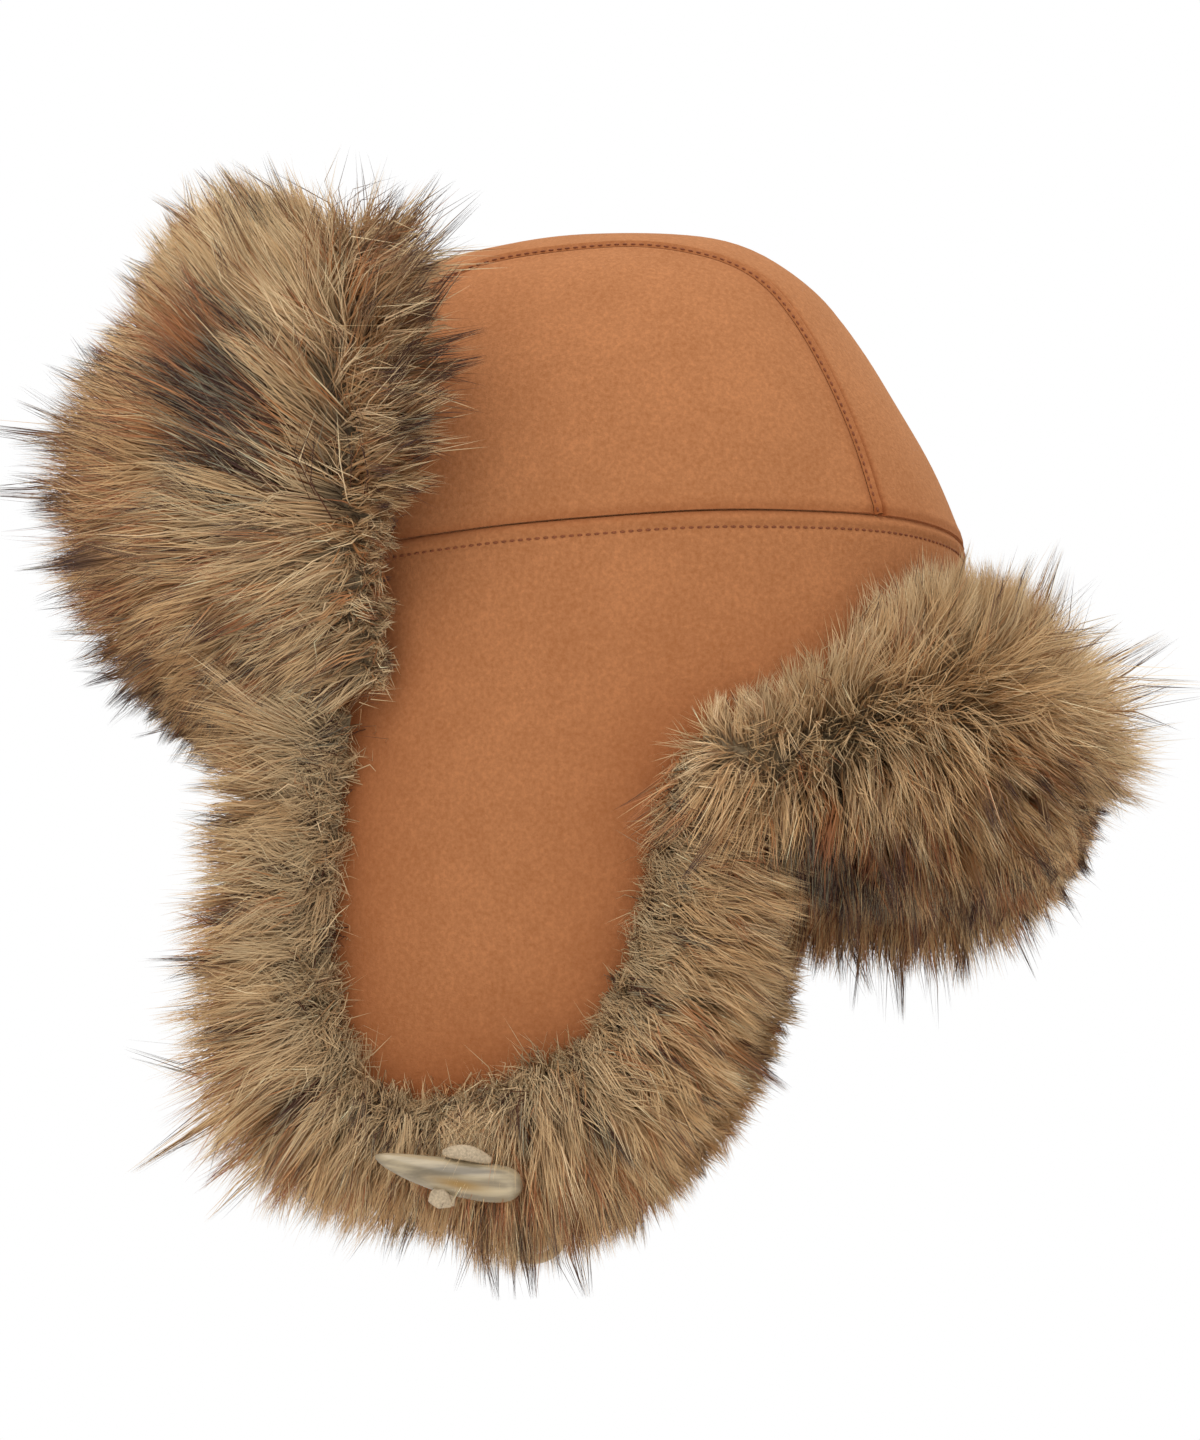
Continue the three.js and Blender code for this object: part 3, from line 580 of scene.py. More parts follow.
class Hem:
    """A hem's course in a flat chart of the wall, where a turn is worth so many metres."""

    def __init__(self, turns, heights):
        self.chart = np.stack([turns * TURN_LENGTH, heights], -1)
        length = length_along(self.chart)
        self.share = length / length[-1]

    def at(self, u):
        return np.stack([np.interp(u, self.share, self.chart[:, k]) for k in range(2)], -1)

    def tangent(self, u):
        ahead, behind = self.at(np.minimum(u + 0.012, 1)), self.at(np.maximum(u - 0.012, 0))
        return unit(ahead - behind)

    def near(self, u, a, height):
        """A place past the hem by a and off the suede's outside by height."""
        p, t = self.at(u), self.tangent(u)
        turn = (p[..., 0] + a * t[..., 1]) / TURN_LENGTH
        return raised(wall_point, turn, p[..., 1] - a * t[..., 0], height)


def ear_hem():
    """The rounded outline of an ear flap, from its front up to the neck flap."""
    power = 2 / FLAP["squareness"]
    angle = np.radians(np.linspace(0.1, 179.9, 900))
    c, s = np.cos(angle), np.sin(angle)
    turns = FLAP["middle"] - FLAP["half"] * np.sign(c) * np.abs(c) ** power
    heights = -FLAP["depth"] * s**power
    keep = heights < np.where(turns < FLAP["middle"], FUR_PARTING - 0.001, -NAPE["drop"] + 0.004)
    return Hem(turns[keep], heights[keep])


def neck_hem():
    """The neck flap's hem, from one ear flap round the back to the other."""
    first = FLAP["middle"] + FLAP["half"] - 2
    turns = np.linspace(first, 360 - first, 300)
    return Hem(turns, np.full(300, -NAPE["drop"]))


def rounded_section(outline, count):
    """A closed smooth outline through corner points, with count places evenly along it."""
    corners = np.asarray(outline, float)
    ring = []
    for i in range(len(corners)):
        a, b, c, d = (corners[(i + k) % len(corners)] for k in (-1, 0, 1, 2))
        t = np.linspace(0, 1, 24, endpoint=False)[:, None]
        ring.append(spline(a, b, c, d, t))
    ring = np.concatenate(ring)
    closed = np.concatenate([ring, ring[:1]])
    length = length_along(closed)
    at = np.linspace(0, length[-1], count, endpoint=False)
    return np.stack([np.interp(at, length, closed[:, k]) for k in range(2)], -1)


def hem_core(hem, build, cover, stations, around):
    """The body under a hem's fur: a table of rings, with each place's outward directions."""
    u = np.linspace(0, 1, stations)
    swell = np.sqrt(np.clip(1 - np.abs(2 * u - 1) ** 24, 0.04, 1))
    rings = []
    for share, size in zip(u, swell):
        reach = cover(share)
        top, bottom = build["outside"] * size, -CLOTH - build["inside"] * size
        past = max(build["past"] * size, 0.0012)
        outline = [(-reach, top * 0.25), (-reach * 0.8, top * 0.75), (-reach * 0.35, top)]
        outline += [(past * 0.55, top * 0.75), (past, -CLOTH / 2), (past * 0.5, bottom * 0.9)]
        outline += [(-build["inner"] * 0.6, bottom), (-build["inner"], bottom * 0.75)]
        rings.append(open_slot(rounded_section(outline, around)))
    section = np.stack(rings)
    a, height = section[..., 0], section[..., 1]
    points = hem.near(u[:, None], a, height)
    ahead = hem.near(np.clip(u + 0.01, 0, 1)[:, None], a, height)
    behind = hem.near(np.clip(u - 0.01, 0, 1)[:, None], a, height)
    return {
        "points": points,
        "normal": ring_normals(points),
        "away": unit(hem.near(u[:, None], a + 0.001, height) - points),
        "along": unit(ahead - behind),
        "a": a,
        "height": height,
        "u": np.repeat(u[:, None], points.shape[1], 1),
    }


def open_slot(ring):
    """Keeps a section's outline out of the suede: what lies inside the cloth goes to its faces."""
    a, height = ring[:, 0].copy(), ring[:, 1].copy()
    inside = (a < SLOT) & (height < SLOT) & (height > -CLOTH - SLOT)
    upper = inside & (height > -CLOTH / 2)
    height[upper] = SLOT
    height[inside & ~upper] = -CLOTH - SLOT
    return np.stack([a, height], -1)


def ring_normals(points):
    """Outward normals of a table of closed rings."""
    around = np.roll(points, -1, 1) - np.roll(points, 1, 1)
    along = np.gradient(points, axis=0)
    normal = unit(np.cross(along, around))
    centre = points.mean(1, keepdims=True)
    outward = ((points - centre) * normal).sum(-1).mean()
    return normal if outward > 0 else -normal


def scattered(core, count, weight, rng):
    """Random places on a core, as many for each area, with all its values at each place."""
    p = core["points"]
    right = np.roll(p, -1, 1)
    diagonals = np.cross(right[1:] - p[:-1], p[1:] - right[:-1])
    area = np.linalg.norm(diagonals, axis=-1) * (weight[1:] + weight[:-1])
    chance = (area / area.sum()).reshape(-1)
    cell = rng.choice(len(chance), size=count, p=chance)
    row, col = np.divmod(cell, p.shape[1])
    after = (col + 1) % p.shape[1]
    s, t = rng.random((2, count, 1))
    found = {}
    for name, values in core.items():
        values = values[..., None] if values.ndim == 2 else values
        low = values[row, col] * (1 - s) + values[row, after] * s
        high = values[row + 1, col] * (1 - s) + values[row + 1, after] * s
        found[name] = low * (1 - t) + high * t
    for name, values in found.items():
        if values.shape[1] == 1:
            found[name] = values[:, 0]
    found["normal"] = unit(found["normal"])
    return found


# Where a strand has points along its length: a pile strand bends once and a guard hair twice
PILE_STEPS = np.array([0.0, 0.48, 1.0])
GUARD_STEPS = np.array([0.0, 0.3, 0.66, 1.0])
# How wide a strand is along its length, as shares of both
STRAND_SHAPE = {"along": (0.0, 0.3, 0.66, 1.0), "wide": (0.85, 1.0, 0.72, 0.0)}
# How strands form locks: how much longer tufts are, how strongly strands are drawn to their
# leader, as a least value and a spread, and how far locks wave and single strands stray at the tip
LOCKS = {
    "tuft_longer": (0.10, 0.28),
    "tuft_pull": (0.74, 0.18),
    "pull": (0.22, 0.42),
    "large_pull": 0.28,
    "wave": 0.0011,
    "stray": 0.0009,
}
# The seeds of the fur's random draws
SEEDS = {"front_flap": 11, "ear": 23, "neck": 37}


def spread_over(name, draws):
    """Values of a kind of lock for random draws from 0 to 1."""
    least, spread = LOCKS[name]
    return least + spread * draws


class Strands:
    """Strands of fur on a body, in fine locks and large ones. Some fine locks are long tufts."""

    def __init__(self, core, count, weight, steps, tufts, rng):
        self.rng = rng
        self.count = count
        self.steps = steps
        self.at = scattered(core, count, weight, rng)
        self.fine = self.leaders(22 if len(steps) == 3 else 14)
        self.large = self.leaders(count // 150)
        self.tufts = tufts

    def leaders(self, size):
        """The strand that leads each strand's lock, where a lock has about so many strands."""
        roots = self.at["points"]
        chosen = self.rng.choice(self.count, size=self.count // size, replace=False)
        leaders = roots[chosen]
        nearest = np.empty(self.count, int)
        for part in np.array_split(np.arange(self.count), max(self.count // 1500, 1)):
            gaps = -2 * roots[part] @ leaders.T + (leaders**2).sum(1)[None]
            nearest[part] = gaps.argmin(1)
        return chosen[nearest]

    def by_lock(self):
        """A random number from 0 to 1 for each strand, the same for a whole fine lock."""
        return self.rng.random(self.count)[self.fine]

    def widths(self, usual):
        return usual * (0.6 + 0.8 * self.rng.random(self.count))

    def stray(self, of_lock, own):
        """Random directions, in part the same for a whole lock."""
        shared, single = self.rng.normal(size=(2, self.count, 3))
        return shared[self.fine] * np.asarray(of_lock)[..., None] + single * np.asarray(own)[..., None]

    def grow(self, start, end, length, more_tufts=0.0):
        """Lays each strand from its start direction to its end one, then draws locks together."""
        rng = self.rng
        self.tuft = (rng.random(self.count) < self.tufts + more_tufts)[self.fine]
        length = length * (1 + self.tuft * spread_over("tuft_longer", self.by_lock()))
        t = self.steps[None, :, None]
        way = start[:, None] * (t - t * t / 2) + end[:, None] * (t * t / 2)
        curves = self.at["points"][:, None] + way * length[:, None, None]
        swing = np.minimum(self.steps * 2.2, 1.0) * LOCKS["wave"]
        wave = rng.normal(size=(self.count, len(self.steps), 3)) * swing[None, :, None]
        curves = curves + wave[self.fine]
        of_tuft, of_others = rng.random((2, self.count))
        pull = np.where(self.tuft, spread_over("tuft_pull", of_tuft), spread_over("pull", of_others))
        curves = self.drawn_together(curves, self.fine, pull)
        pull = np.where(self.tuft, 0.0, LOCKS["large_pull"]) * rng.random(self.count)
        curves = self.drawn_together(curves, self.large, pull)
        loose = rng.normal(size=curves.shape) * (self.steps * LOCKS["stray"])[None, :, None]
        self.curves = curves + loose * np.where(self.tuft, 0.5, 1.0)[:, None, None]

    def drawn_together(self, curves, lead, pull):
        """Curves drawn towards their leaders, more and more along their length."""
        strength = pull[:, None, None] * (self.steps**1.3)[None, :, None]
        return curves + (curves[lead] - curves) * strength

    def middle(self):
        """A place in each strand's outer half, where its colour shows."""
        return 0.4 * self.curves[:, -2] + 0.6 * self.curves[:, -1]

    def ribbons(self, facing, width):
        """Tapering ribbons along the strands, as points, face sizes, corner numbers and shares."""
        curves, steps, count = self.curves, self.steps, self.count
        levels = len(steps) - 1
        axis = unit(curves[:, -1] - curves[:, 0])
        side = unit(np.cross(axis, facing + 0.30 * self.rng.normal(size=(count, 3))))
        shape = np.interp(steps[:-1], STRAND_SHAPE["along"], STRAND_SHAPE["wide"])
        wide = side[:, None] * (width[:, None] * shape[None])[..., None] / 2
        pairs = np.stack([curves[:, :-1] - wide, curves[:, :-1] + wide], 2).reshape(count, 2 * levels, 3)
        points = np.concatenate([pairs, curves[:, -1:]], 1)
        corners = []
        for k in range(levels - 1):
            corners += [2 * k, 2 * k + 1, 2 * k + 3, 2 * k + 2]
        corners += [2 * levels - 2, 2 * levels - 1, 2 * levels]
        along = np.append(np.repeat(steps[:-1], 2), 1.0)
        each = 2 * levels + 1
        table = (np.arange(count) * each)[:, None] + np.array(corners)[None]
        sides = np.tile([4] * (levels - 1) + [3], count)
        return points.reshape(-1, 3), sides, table.reshape(-1), along[corners]


def core_faces(rows, around):
    """The quads of a table of closed rings and the triangles of its two ends, as corner numbers."""
    r, i = np.meshgrid(np.arange(rows - 1), np.arange(around), indexing="ij")
    j = (i + 1) % around
    quads = np.stack([r * around + i, r * around + j, (r + 1) * around + j, (r + 1) * around + i], -1)
    ring = np.arange(around)
    last = (rows - 1) * around
    middle = rows * around
    first_end = np.stack([np.full(around, middle), np.roll(ring, -1), ring], -1)
    last_end = np.stack([np.full(around, middle + 1), last + ring, last + np.roll(ring, -1)], -1)
    return quads.reshape(-1, 4), np.concatenate([first_end, last_end])


def with_ends(points):
    """A table of rings as one list of points, with the middles of both end rings."""
    return np.concatenate([points.reshape(-1, 3), [points[0].mean(0), points[-1].mean(0)]])


def turned_over(points, normal):
    """Whether a table of rings, as its faces are listed, looks inwards."""
    around = np.roll(points, -1, 1) - points
    along = np.diff(points, axis=0)
    listed = np.cross(around[:-1], along)
    return bool((listed * normal[:-1]).sum() < 0)


def drop_uv_maps(mesh):
    while mesh.uv_layers:
        mesh.uv_layers.remove(mesh.uv_layers[0])


# The tone of the fur's body between the strands, as a place in the fur's UV map
CORE_TONE = (0.05, 0.12)


def make_fur(name, core, strands, facing, tones, width, node):
    """A piece of fur: strands and, where core is given, their body. Its UV map holds the tones."""
    body = np.empty((0, 3))
    body_sides, body_corners = np.empty(0, int), np.empty(0, int)
    if core is not None:
        points = core["points"]
        quads, ends = core_faces(*points.shape[:2])
        if turned_over(points, core["normal"]):
            quads, ends = quads[:, ::-1], ends[:, ::-1]
        body = with_ends(points)
        body_sides = np.concatenate([np.full(len(quads), 4), np.full(len(ends), 3)])
        body_corners = np.concatenate([quads.reshape(-1), ends.reshape(-1)])
    hair, sides, corners, along = strands.ribbons(facing, width)
    deselect_all()
    bpy.ops.mesh.primitive_plane_add(size=0.01)
    piece = added_piece(name)
    drop_uv_maps(piece.data)
    all_corners = np.concatenate([body_corners, corners + len(body)])
    replace_mesh(piece.data, np.concatenate([body, hair]), np.concatenate([body_sides, sides]), all_corners)
    uv = np.empty((len(all_corners), 2), np.float32)
    uv[: len(body_corners)] = CORE_TONE
    uv[len(body_corners) :, 0] = np.repeat(tones, len(along))
    uv[len(body_corners) :, 1] = np.tile(along, strands.count) * 0.98 + 0.01
    layer = piece.data.uv_layers.new(name="OFBake")
    layer.data.foreach_set("uv", uv.reshape(-1))
    settle(piece, "faux_fur", "fur", node)


def patches(places, scale, shift):
    """A slow pattern from 0 to 1 over the fur, for its patches of colour."""
    x, y, z = (places[:, k] * scale + shift * (k + 1) for k in range(3))
    wave = np.sin(x + 1.7 * np.sin(0.8 * z)) + np.sin(1.3 * y + 1.9 * np.sin(0.6 * x))
    return 0.5 + (wave + np.sin(1.1 * z + 0.9 * y)) / 6


# Where the special tones begin in the fur's UV map, and how far they spread
TONE_AT = {"pale": (0.73, 0.06), "white": (0.82, 0.05), "rust": (0.57, 0.10), "dark": (0.93, 0.07)}
USUAL_TONES, DARK_TIP_TONE = 0.44, 0.50
WHITE_SHARE = 0.010


def tones_for(strands, amounts, shift):
    """Each strand's tone, as a place in the fur's UV map.

    amounts gives how warm the usual tone is, from olive to tan, and the shares of rust, dark,
    dark-tipped and pale strands.
    """
    rng, count = strands.rng, strands.count
    places = strands.middle()
    warm, rust, dark, dark_tip = (
        np.broadcast_to(amounts[name], count) for name in ("warm", "rust", "dark", "dark_tip")
    )
    of_lock, own = strands.by_lock(), rng.random(count)
    slow = patches(places, 70.0, shift + 2.0)
    level = 0.42 * warm + 0.22 * slow + 0.32 * strands.by_lock() + 0.10 * rng.random(count) - 0.09
    tone = USUAL_TONES * np.clip(level, 0, 1)
    draw = np.where(own < 0.75, of_lock, rng.random(count))
    patch = smooth(patches(places, 95.0, shift), 0.35, 0.75)

    def special(name):
        first, spread = TONE_AT[name]
        return first + spread * rng.random(count)

    tone = np.where(draw < amounts.get("pale", 0.07), special("pale"), tone)
    tone = np.where(rng.random(count) < WHITE_SHARE, special("white"), tone)
    tone = np.where(draw > 1 - rust * (0.35 + 1.1 * patch), special("rust"), tone)
    tips = rng.random(count) < np.where(strands.tuft, np.minimum(0.35 + 3 * dark_tip, 0.95), dark_tip)
    tone = np.where(tips, DARK_TIP_TONE, tone)
    return np.where(of_lock < dark * (0.75 + 0.5 * own), special("dark"), tone)


# The bodies under the fur and the usual length of its pile. A hem's body stands off the suede's
# outside and inside, laps over it by cover and inner, and passes its edge by past.
VISOR_FUR = {"edge": 60.3, "wider": 3.0, "body": 0.019, "pile": 0.041}
EAR_BUILD = {"outside": 0.0095, "inside": 0.0055, "inner": 0.008, "past": 0.009, "pile": 0.031}
NECK_BUILD = {"outside": 0.0115, "inside": 0.0055, "inner": 0.008, "past": 0.009, "pile": 0.040}
NECK_COVER = {"ends": 0.013, "middle": 0.041}

# Patches of another colour in the fur, and under the neck flap a patch of painted shade: their middles and
# how far they reach
PATCHES = {
    "dark": ((0.084, -0.1035, 0.0745), (0.034, 0.0140, 0.0235)),
    "round_dark": ((0.084, -0.108, 0.078), (0.04, 0.024, 0.032)),
    "behind": ((0.090, -0.045, 0.120), (0.024, 0.012, 0.012)),
    "neck": ((0.080, 0.062, -0.064), (0.03, 0.030, 0.014)),
}
# How far the fur may spread before it is held back: to either side, and down
SPREAD = {"aside": (0.128, 0.014), "down": (0.157, 0.010)}


def pile_and_guard(core, counts, weight, tufts, seed):
    """The pile and the longer guard hairs of a piece of fur. The pile brings the body with it."""
    rng = np.random.default_rng(seed)
    pile = Strands(core, counts[0], weight, PILE_STEPS, tufts[0], rng)
    guard = Strands(core, counts[1], weight, GUARD_STEPS, tufts[1], rng)
    return ("pile", pile, core), ("guard_hairs", guard, None)


def visor_edge(share):
    """How far round the front flap's fur reaches, in degrees: a little further above its middle."""
    return VISOR_FUR["edge"] + VISOR_FUR["wider"] * smooth(share, 0.3, 0.55)


def visor_core():
    """The body under the front flap's fur: rings that run up its outside and down the backing.

    a is the turn, height the share of the flap's height and u how near the outline a place is.
    """
    up = (1 - np.cos(np.linspace(0, np.pi, 40))) / 2 * 1.03 - 0.005
    down = up[::-1][1:-1:2]
    share = np.concatenate([up, down])[None].repeat(76, 0)
    across = np.linspace(-1, 1, 76)[:, None] + 0 * share
    turn = across * visor_edge(share)
    outside = np.arange(share.shape[1])[None] < len(up)
    along = np.abs(2 * (share + 0.005) / 1.03 - 1)
    rim = (np.abs(across) ** 6 + along**4) ** (1 / 5)
    swell = VISOR_FUR["body"] * np.sqrt(np.clip(1 - np.minimum(rim, 1) ** 3, 0, 1))
    points = raised(visor_point, turn, share, np.where(outside, 0.0007 + swell, 0.0006), 0.02)
    return {
        "points": points,
        "normal": ring_normals(points),
        "along": normal_of(visor_point, turn, share, 0.5, 0.02),
        "a": turn,
        "height": share,
        "inside": np.where(outside, 0.0, 1.0) + 0 * turn,
        "u": np.minimum(rim, 1.0),
    }


# How the front flap's fur lies, from its foot up to its top edge: where it parts, how much it
# rises before and behind the parting, how long it is there and how much of it is in tufts
VISOR_COURSE = {
    "share": (0.0, 0.15, 0.35, 0.5, 0.7, 0.9, 1.0),
    "spine": (59.0, 59.0, 59.2, 59.8, 59.6, 59.4, 59.4),
    "rise": (-0.85, -0.50, -0.02, 0.28, 0.62, 1.10, 1.45),
    "length": (0.30, 0.52, 0.98, 1.06, 1.04, 0.88, 0.78),
    "rise_behind": (-0.6, -0.4, -0.15, 0.10, 0.24, 0.14, 0.04),
    "behind": (0.24, 0.22, 0.30, 0.74, 0.94, 1.08, 1.16),
    "tufts": (0.0, 0.0, 0.0, 0.25, 0.30, 0.30, 0.10),
}


def visor_course(share, name):
    """A value of the front flap's fur at a share of the flap's height."""
    return np.interp(share, VISOR_COURSE["share"], VISOR_COURSE[name])


def make_visor_fur(sizes):
    """The front flap's fur, denser near its partings and its top edge."""
    core = visor_core()
    to_spine = np.abs(core["a"]) - visor_course(np.clip(core["height"], 0, 1), "spine")
    rim = (np.abs(core["a"]) > VISOR["half"] - 0.5) | (core["height"] > 0.98)
    weight = np.where(core["inside"] < 0.5, 1 + 1.2 * smooth(core["u"], 0.6, 1.0), 1.4 * rim)
    weight *= (1 + 1.6 * np.exp(-((to_spine / 2.5) ** 2))) * (1 + 0.7 * smooth(core["height"], 0.85, 1.0))
    counts = (sizes.front_strands, sizes.front_guard_hairs)
    for name, strands, body in pile_and_guard(core, counts, weight, (0.03, 0.22), SEEDS["front_flap"]):
        facing, tones, width = comb_visor(strands, sizes)
        width *= 1.0 if body else 0.9
        make_fur(f"front_flap_{name}", body, strands, facing, tones, width, "front_flap_fur")


def comb_visor(strands, sizes):
    """Parts the front flap's strands near its side edges: forwards before it, and back behind it.

    The strands on the rim behind the backing lie outwards and are short.
    """
    rng, at, count = strands.rng, strands.at, strands.count
    turn, share, flat = at["a"], np.clip(at["height"], 0, 1), at["along"]
    reach = np.abs(turn)
    step = 0.5
    back = unit(visor_point(turn + step, share) - visor_point(turn - step, share)) * np.sign(turn)[:, None]
    spine = visor_course(share, "spine")
    parting = spine - 0.3 + 1.3 * rng.normal(size=count)[strands.fine]
    past = smooth(reach, parting - 0.4, parting + 0.4)
    beside = (1 - smooth(spine - reach, 2, 22)) * (1 - past)
    sideways = past - (1 - past) * 1.05 * smooth(reach, 4, 40)
    rise = visor_course(share, "rise") + 0.55 * beside * smooth(share, 0.3, 0.55)
    fan = 1.1 * strands.by_lock() ** 2 * smooth(share, 0.86, 1.0)
    rise = rise * (1 - past) + (visor_course(share, "rise_behind") + fan) * past
    flow = back * sideways[:, None]
    flow[:, 2] += rise
    start = flat * (0.50 - 0.25 * past)[:, None] + at["normal"] * (0.45 - 0.35 * past)[:, None] + flow * 0.45
    start = unit(start + strands.stray(0.15, 0.09))
    end = flow + flat * (0.95 - 0.55 * smooth(reach, 8, 40) - 0.15 * past)[:, None]
    end[:, 2] -= 0.10
    end = unit(end + strands.stray(0.24, 0.10))
    behind = (at["inside"] > 0.5)[:, None]
    outward = back * smooth(reach, 54, 57)[:, None] - flat * 0.12
    outward[:, 2] += smooth(at["height"], 0.97, 1.0)
    start = np.where(behind, unit(outward + at["normal"] * 0.3), start)
    end = np.where(behind, unit(outward + strands.stray(0.25, 0.12)), end)
    ahead = 1 - smooth(reach, 15, 48)
    length = visor_course(share, "length") * (1 - 0.14 * ahead)
    length *= 1 - 0.62 * ahead * smooth(share, 0.6, 0.92)
    length = length * (1 - past) + visor_course(share, "behind") * past
    length = length + 0.35 * beside * (1 - smooth(share, 0.0, 0.2))
    length *= 1 + 0.40 * (strands.by_lock() < 0.12 * past * (share < 0.88))
    length *= 1 - 0.45 * past * fan
    length = np.where(at["inside"] > 0.5, 0.38 * visor_course(share, "behind"), length)
    length *= VISOR_FUR["pile"] * (0.72 + 0.38 * rng.random(count))
    strands.grow(start, end, length, past * visor_course(share, "tufts") + 0.12 * ahead)
    strands.curves[..., 0] = held_back(strands.curves[..., 0], *SPREAD["aside"])
    middle = strands.middle()
    patch, wide_patch, back_patch = (blot(middle, name) for name in ("dark", "round_dark", "behind"))
    front = smooth(-middle[:, 1], 0.115, 0.150)
    # low gives the flap's lower strands more dark and dark-tipped tones: painted shade on its lower part
    low = smooth(-middle[:, 2], -0.060, 0.010) * (1 - past)
    amounts = {
        "warm": 0.36 + 0.78 * smooth(spine - reach, 4, 26),
        "rust": 0.16 + 0.20 * front + 0.25 * back_patch + 0.8 * wide_patch,
        "dark": 0.03 + 1.25 * patch + 0.08 * back_patch + 0.05 * low,
        "dark_tip": 0.05 + 0.16 * past + 0.14 * front + 0.10 * low,
        "pale": 0.07 + 0.26 * past + 0.30 * smooth(share, 0.55, 0.9) * (1 - wide_patch) * (1 - past),
    }
    tones = tones_for(strands, amounts, 3.0)
    facing = np.where(behind, at["normal"], unit(at["normal"] + flat))
    return facing, tones, strands.widths(sizes.strand_width)


def held_back(values, free, more):
    """Values beyond the free range, on either side, drawn in so that they pass it by less than more."""
    over = np.maximum(np.abs(values) - free, 0)
    return np.sign(values) * (np.minimum(np.abs(values), free) + more * np.tanh(over / more))


def blot(places, name):
    """How far inside a patch each place is, from 0 to 1. The patches are of another colour, but for the neck
    flap's one of painted shade.
    """
    centre, reach = PATCHES[name]
    gap = (places - np.asarray(centre)) / np.asarray(reach)
    return np.exp(-((gap**2).sum(1) ** 2))


def fur_weight(core):
    """Where fur grows on a hem's body: not in the slot that holds the suede."""
    height, a = core["height"], core["a"]
    in_slot = (a < 0.0008) & (height < SLOT + 0.0001) & (height > -CLOTH - SLOT - 0.0001)
    return np.where(in_slot, 0.0, 1.0)


# How far the ear flaps' fur laps over the suede, how long it is and how much it droops, from the
# front round to the back
EAR_COURSE = {
    "u": (0.0, 0.06, 0.28, 0.38, 0.45, 0.50, 0.56, 0.625, 0.68, 0.80, 0.88, 1.0),
    "cover": (0.007, 0.007, 0.007, 0.0085, 0.0045, 0.0022, 0.0045, 0.0105, 0.01, 0.0097, 0.0094, 0.009),
    "length": (1.50, 1.12, 1.20, 1.34, 0.90, 0.68, 0.92, 0.98, 0.74, 0.74, 0.86, 0.75),
    "droop": (0.0, -0.02, -0.09, -0.15, -0.20, -0.30, -0.32, -0.35, -0.40, -0.42, -0.43, -0.45),
}


def ear_course(u, name):
    """A value of an ear flap's fur at a share of its hem."""
    return np.interp(u, EAR_COURSE["u"], EAR_COURSE[name])


# The longer tuft under the toggle, by its place along the ear flap's hem
TUFT = {"u": 0.586, "reach": 0.036, "longer": 0.62, "most": 0.0355}


def make_ear_fur(sizes):
    """Both ear flaps' fur, grown on the left flap and then mirrored for the right one."""
    hem = ear_hem()
    counts = (sizes.ear_strands, sizes.ear_guard_hairs)
    for side, word in ((1, "left"), (-1, "right")):
        core = hem_core(hem, EAR_BUILD, lambda u: ear_course(u, "cover"), 104, 40)
        from_border = core["a"] + ear_course(core["u"], "cover")
        weight = fur_weight(core) * (1 + 1.3 * (from_border < 0.004) * (core["height"] > 0))
        weight *= 1 + 1.4 * np.exp(-(((core["u"] - TUFT["u"]) / TUFT["reach"]) ** 2))
        mirror = np.array([side, 1, 1])
        turned = dict(core, points=core["points"] * mirror, normal=core["normal"] * mirror)
        for name, strands, body in pile_and_guard(core, counts, weight, (0.02, 0.20), SEEDS["ear"] + side):
            facing, tones, width = comb_ear(strands, side, sizes)
            strands.curves = strands.curves * mirror
            body = turned if body else None
            make_fur(f"ear_{name}_{word}", body, strands, facing * mirror, tones, width, f"ear_trim_{word}")


def comb_ear(strands, side, sizes):
    """Lays an ear flap's strands out past its hem, shorter beside the bare suede."""
    rng, at, count = strands.rng, strands.at, strands.count
    u, n, away = at["u"], at["normal"], at["away"]
    outer = smooth(at["height"], -0.002, 0.003)
    edge = (1 - smooth(at["a"] + ear_course(u, "cover"), 0.0010, 0.0065)) * outer
    start = n * (0.65 + 0.10 * edge)[:, None] + away * (0.6 - 0.15 * edge)[:, None]
    start = unit(start + strands.stray(0.16, 0.10 + 0.06 * edge))
    end = away * (1.0 - 0.10 * edge)[:, None] + n * (0.20 + 0.10 * edge)[:, None]
    below_toggle = np.exp(-(((u - TUFT["u"]) / TUFT["reach"]) ** 2)) * (1 - edge)
    end[:, 2] += ear_course(u, "droop") - 0.7 * below_toggle
    over = (rng.random(count) < 0.10) & (edge > 0.4)
    end = np.where(over[:, None], 0.55 * n - 0.45 * away, end)
    end = unit(end + strands.stray(0.24, 0.11 + 0.07 * edge))
    length = EAR_BUILD["pile"] * ear_course(u, "length") * (0.65 + 0.45 * rng.random(count))
    length *= (1 - 0.34 * edge) * (1 + TUFT["longer"] * below_toggle)
    length = np.where(below_toggle > 0.1, np.minimum(length, TUFT["most"]), length)
    if side < 0:
        length *= 1 - 0.42 * smooth(u, 0.46, 0.56)
    strands.grow(start, end, length)
    strands.curves[..., 2] = held_back(strands.curves[..., 2], *SPREAD["down"])
    # The dark share rises with edge beside the bare suede: painted shade there
    amounts = {
        "warm": 0.12 + 0.62 * (1 - edge),
        "rust": 0.10 * (1 - edge) + 0.22 * below_toggle,
        "dark": 0.04 + 0.07 * edge,
        "dark_tip": 0.09 * (1 - edge) + 0.12 * below_toggle,
    }
    tones = tones_for(strands, amounts, 7.0)
    part_over_strap(strands, tones)
    width = strands.widths(sizes.strand_width) * (1 - 0.25 * edge)
    return unit(n + 0.8 * away * (1 - edge)[:, None]), tones, width


